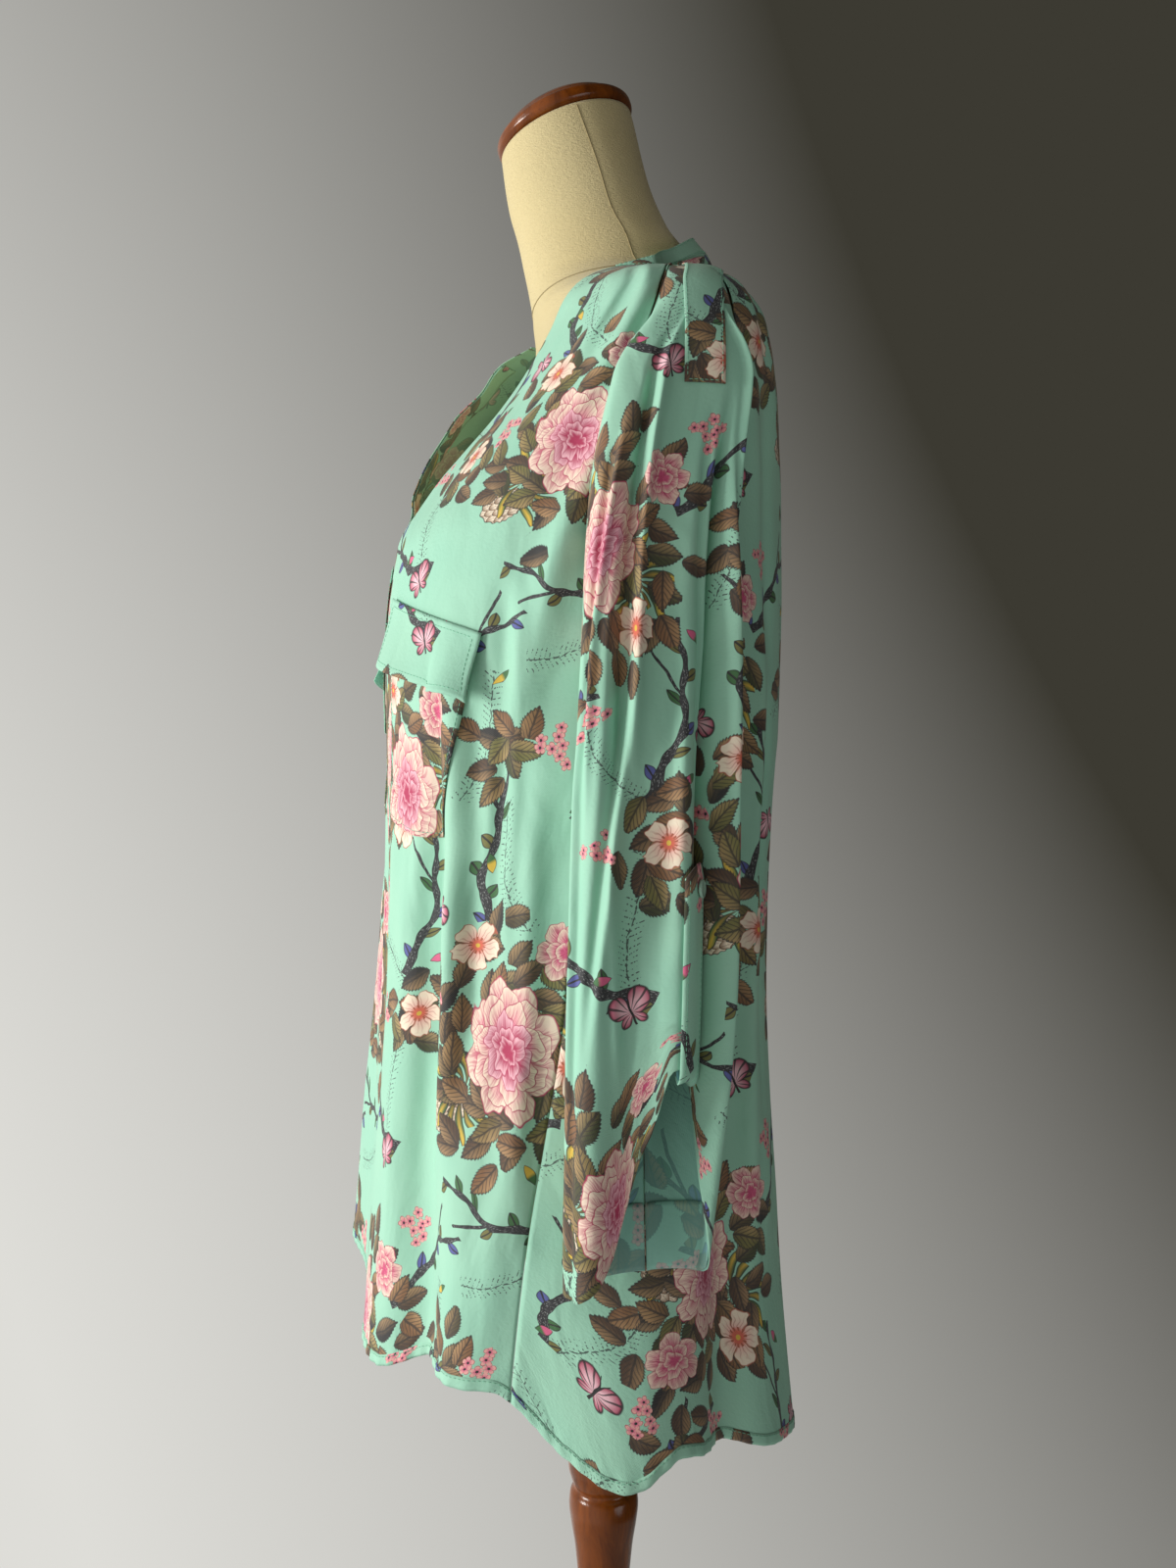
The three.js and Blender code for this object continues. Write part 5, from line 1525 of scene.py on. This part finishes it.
def tab_points():
    share = np.linspace(*TAB_SHARES, TAB_COLUMNS)[None, :]
    pointed = TAB_POINT * np.sin(math.pi * np.linspace(0, 1, TAB_COLUMNS))
    down = np.linspace(TAB_TOP, TAB_FOLD, 30)[:, None] + pointed * np.linspace(1, 0, 30)[:, None] ** 6
    low = cuff_height(share)
    down = np.concatenate([down, mix(TAB_FOLD, low, np.linspace(0.2, 1, 8)[:, None])])
    up = np.concatenate([
        mix(low, TAB_FOLD, np.linspace(0, 0.9, 8)[:, None]),
        np.broadcast_to(np.linspace(TAB_FOLD, TAB_END, 12)[:, None], (12, TAB_COLUMNS)),
    ])
    outside, inside = sleeve_point(share, down, False), sleeve_point(share, up, False)
    outer = outset(outside, np.linspace(*TAB_STAND, TAB_COLUMNS)[None, :])
    inner = outset(inside[::-1], -TAB_INNER_STAND)[::-1]
    start, end = outer[-1], inner[0]
    drop = np.array([0, 0, -TAB_FOLD_DROP])
    turns = np.linspace(0, math.pi, 9)[1:-1]
    loop = [(start + end) / 2 + (start - end) / 2 * math.cos(t) + drop * math.sin(t) for t in turns]
    return np.concatenate([outer, np.stack(loop), inner])


tab = tab_points()
for side_name, points in both(tab):
    piece = cloth_piece(
        f"sleeve_tab_{side_name}_cloth", points, TAB_COLUMNS // 2, (0.06, 0.2), (BAND_FACE, BAND_REVERSE),
        f"sleeve_tab_{side_name}",
    )
    edge_stitches(points, 1, "lr")


# Buttons: the profile as radius and height
BUTTON = ((0.1, 0.2), (4.4, 0.2), (5.3, 0.7), (5.5, 1.4), (5.2, 2.1), (4.6, 2.3), (3.8, 1.9), (0.2, 1.6))
seat = (tab[3, 4] + tab[4, 4]) / 2
seat_normal = grid_normals(tab)[4, 4]
turn_up = Vector((0, 0, 1)).rotation_difference(Vector(seat_normal)).to_matrix()
button = turned_rings(BUTTON, 40, 3) @ np.array(turn_up).T + seat + seat_normal * SEAM_GAP
for side_name, points in both(button):
    piece = rings_mesh(f"tab_button_{side_name}_shell", points, SHELL)
    finish_piece(piece, "button_shell", f"tab_button_{side_name}")

# The form and its stand
FORM_STEPS = 144
FORM_BOTTOM = 722.0
NECK_TOP = 1536.0
NECK_TOP_Y = -28.0
SEAM_RADIUS = 0.55
tilt = math.radians(NECK_TILT)


def form_at(turn, z):
    side, c = form["side"](z), np.cos(turn)
    depth = np.where(c > 0, side - form["front"](z), form["back"](z) - side)
    return np.stack([form["half"](z) * np.sin(turn), side - depth * c, z], axis=-1)


def form_rings():
    z = np.concatenate([np.linspace(FORM_BOTTOM, 1380, 120), np.linspace(1382, NECK_TOP, 90)])[:, None]
    turn = np.arange(FORM_STEPS)[None, :] * 2 * math.pi / FORM_STEPS
    points = form_at(*np.broadcast_arrays(turn, z))
    tip = ease((z - TILT_STARTS) / (NECK_TOP - TILT_STARTS)) * math.tan(tilt)
    points[..., 2] += (points[..., 1] - form["side"](z)) * tip
    return points


form_grid = form_rings()
finish_piece(rings_mesh("form_body", form_grid, FORM_JERSEY), "form_cloth", "form")
neck_turn = np.arange(FORM_STEPS) * 2 * math.pi / FORM_STEPS
for name, path, closed in (
    ("form_neck_seam", form_at(neck_turn, 1404 + 18 * np.sin(neck_turn / 2) ** 1.4), True),
    ("form_left_seam", form_grid[112:-1, FORM_STEPS // 4], False),
    ("form_right_seam", form_grid[112:-1, 3 * FORM_STEPS // 4], False),
):
    finish_piece(tube(name, path, SEAM_RADIUS, SEAM_THREAD, closed=closed), "form_cloth")

turn_x = np.array(((1, 0, 0), (0, math.cos(tilt), -math.sin(tilt)), (0, math.sin(tilt), math.cos(tilt))))
cap_rings = turned_rings(CAP, 96, 4) @ turn_x.T + (0, NECK_TOP_Y, NECK_TOP)
finish_piece(rings_mesh("cap_wood", cap_rings, WOOD_FLAT), "turned_wood", "neck_cap")
finish_piece(rings_mesh("post_wood", turned_rings(POST, 72, 4), WOOD_UPRIGHT), "turned_wood", "post")
finish_piece(rings_mesh("foot_wood", turned_rings(FOOT, 128, 4), WOOD_FLAT), "turned_wood", "foot")


# Stitching
def stitches_mesh():
    """All stitches as one mesh of short round threads, thinner at their ends."""
    corners, faces = [], []
    thread = strip_of_rings(4, 4) + [[3, 2, 1, 0], [12, 13, 14, 15]]
    for start, end, lift in STITCHES:
        along = end - start
        along = along / np.linalg.norm(along)
        side = np.cross(along, lift)
        faces += [[len(corners) + k for k in face] for face in thread]
        for share, squeeze in ((0, 0.5), (0.25, 1.0), (0.75, 1.0), (1, 0.5)):
            for turn in (0, math.pi / 2, math.pi, 3 * math.pi / 2):
                out = side * math.cos(turn) + lift * math.sin(turn)
                corners.append(mix(start, end, share) + out * STITCH_RADIUS * squeeze)
    return mesh_piece("stitching", corners, faces, [THREAD])


finish_piece(stitches_mesh(), "printed_cloth")

# Studio
FLOOR_RADIUS = 620.0
floor_turn = np.arange(96) * 2 * math.pi / 96
floor_ring = np.stack([np.cos(floor_turn), np.sin(floor_turn), np.zeros(96)], axis=-1) * FLOOR_RADIUS
floor_material = bpy.data.materials.new("floor")
floor_material.use_nodes = True
floor_inputs = floor_material.node_tree.nodes["Principled BSDF"].inputs
floor_inputs["Base Color"].default_value = linear(214, 214, 212)
floor_inputs["Roughness"].default_value = 0.9
mesh_piece("floor", floor_ring, [list(range(96))], [floor_material], [False])

# Lights: name, place, target, size, power and colour, in metres and watts.
for name, place_at, target, size, energy, colour in (
    ("window", (0.5, -2.4, 1.2), (0, 0, 1.0), 0.9, 52.0, (1.0, 0.985, 0.94)),
    ("soft_fill", (1.7, 1.5, 0.25), (0, 0, 0.7), 1.2, 6.0, (0.98, 0.99, 1.0)),
):
    light = bpy.data.lights.new(name, "AREA")
    light.shape = "DISK"
    light.size, light.energy, light.color = size, energy, colour
    lamp = bpy.data.objects.new(name, light)
    lamp.location = place_at
    lamp.rotation_mode = "QUATERNION"
    lamp.rotation_quaternion = (Vector(target) - Vector(place_at)).to_track_quat("-Z", "Y")
    bpy.context.collection.objects.link(lamp)

# The room, brighter towards the window and darker behind the form
GLOW_FROM = -0.55
GLOW_TO = 0.45
world = bpy.data.worlds.new("room")
world.use_nodes = True
background = world.node_tree.nodes["Background"]
dx, dy, dz = split(add_node("TexCoord", {}, "Generated", world.node_tree))
glow = (dy * -1.0 - dz * 0.5 - (dx + 1.0) * 0.17).ramp(GLOW_FROM, GLOW_TO)
shade = choose(glow, linear(60, 58, 50), linear(222, 221, 216))
world.node_tree.links.new(shade.socket, background.inputs[0])
background.inputs[1].default_value = 1.0
bpy.context.scene.world = world
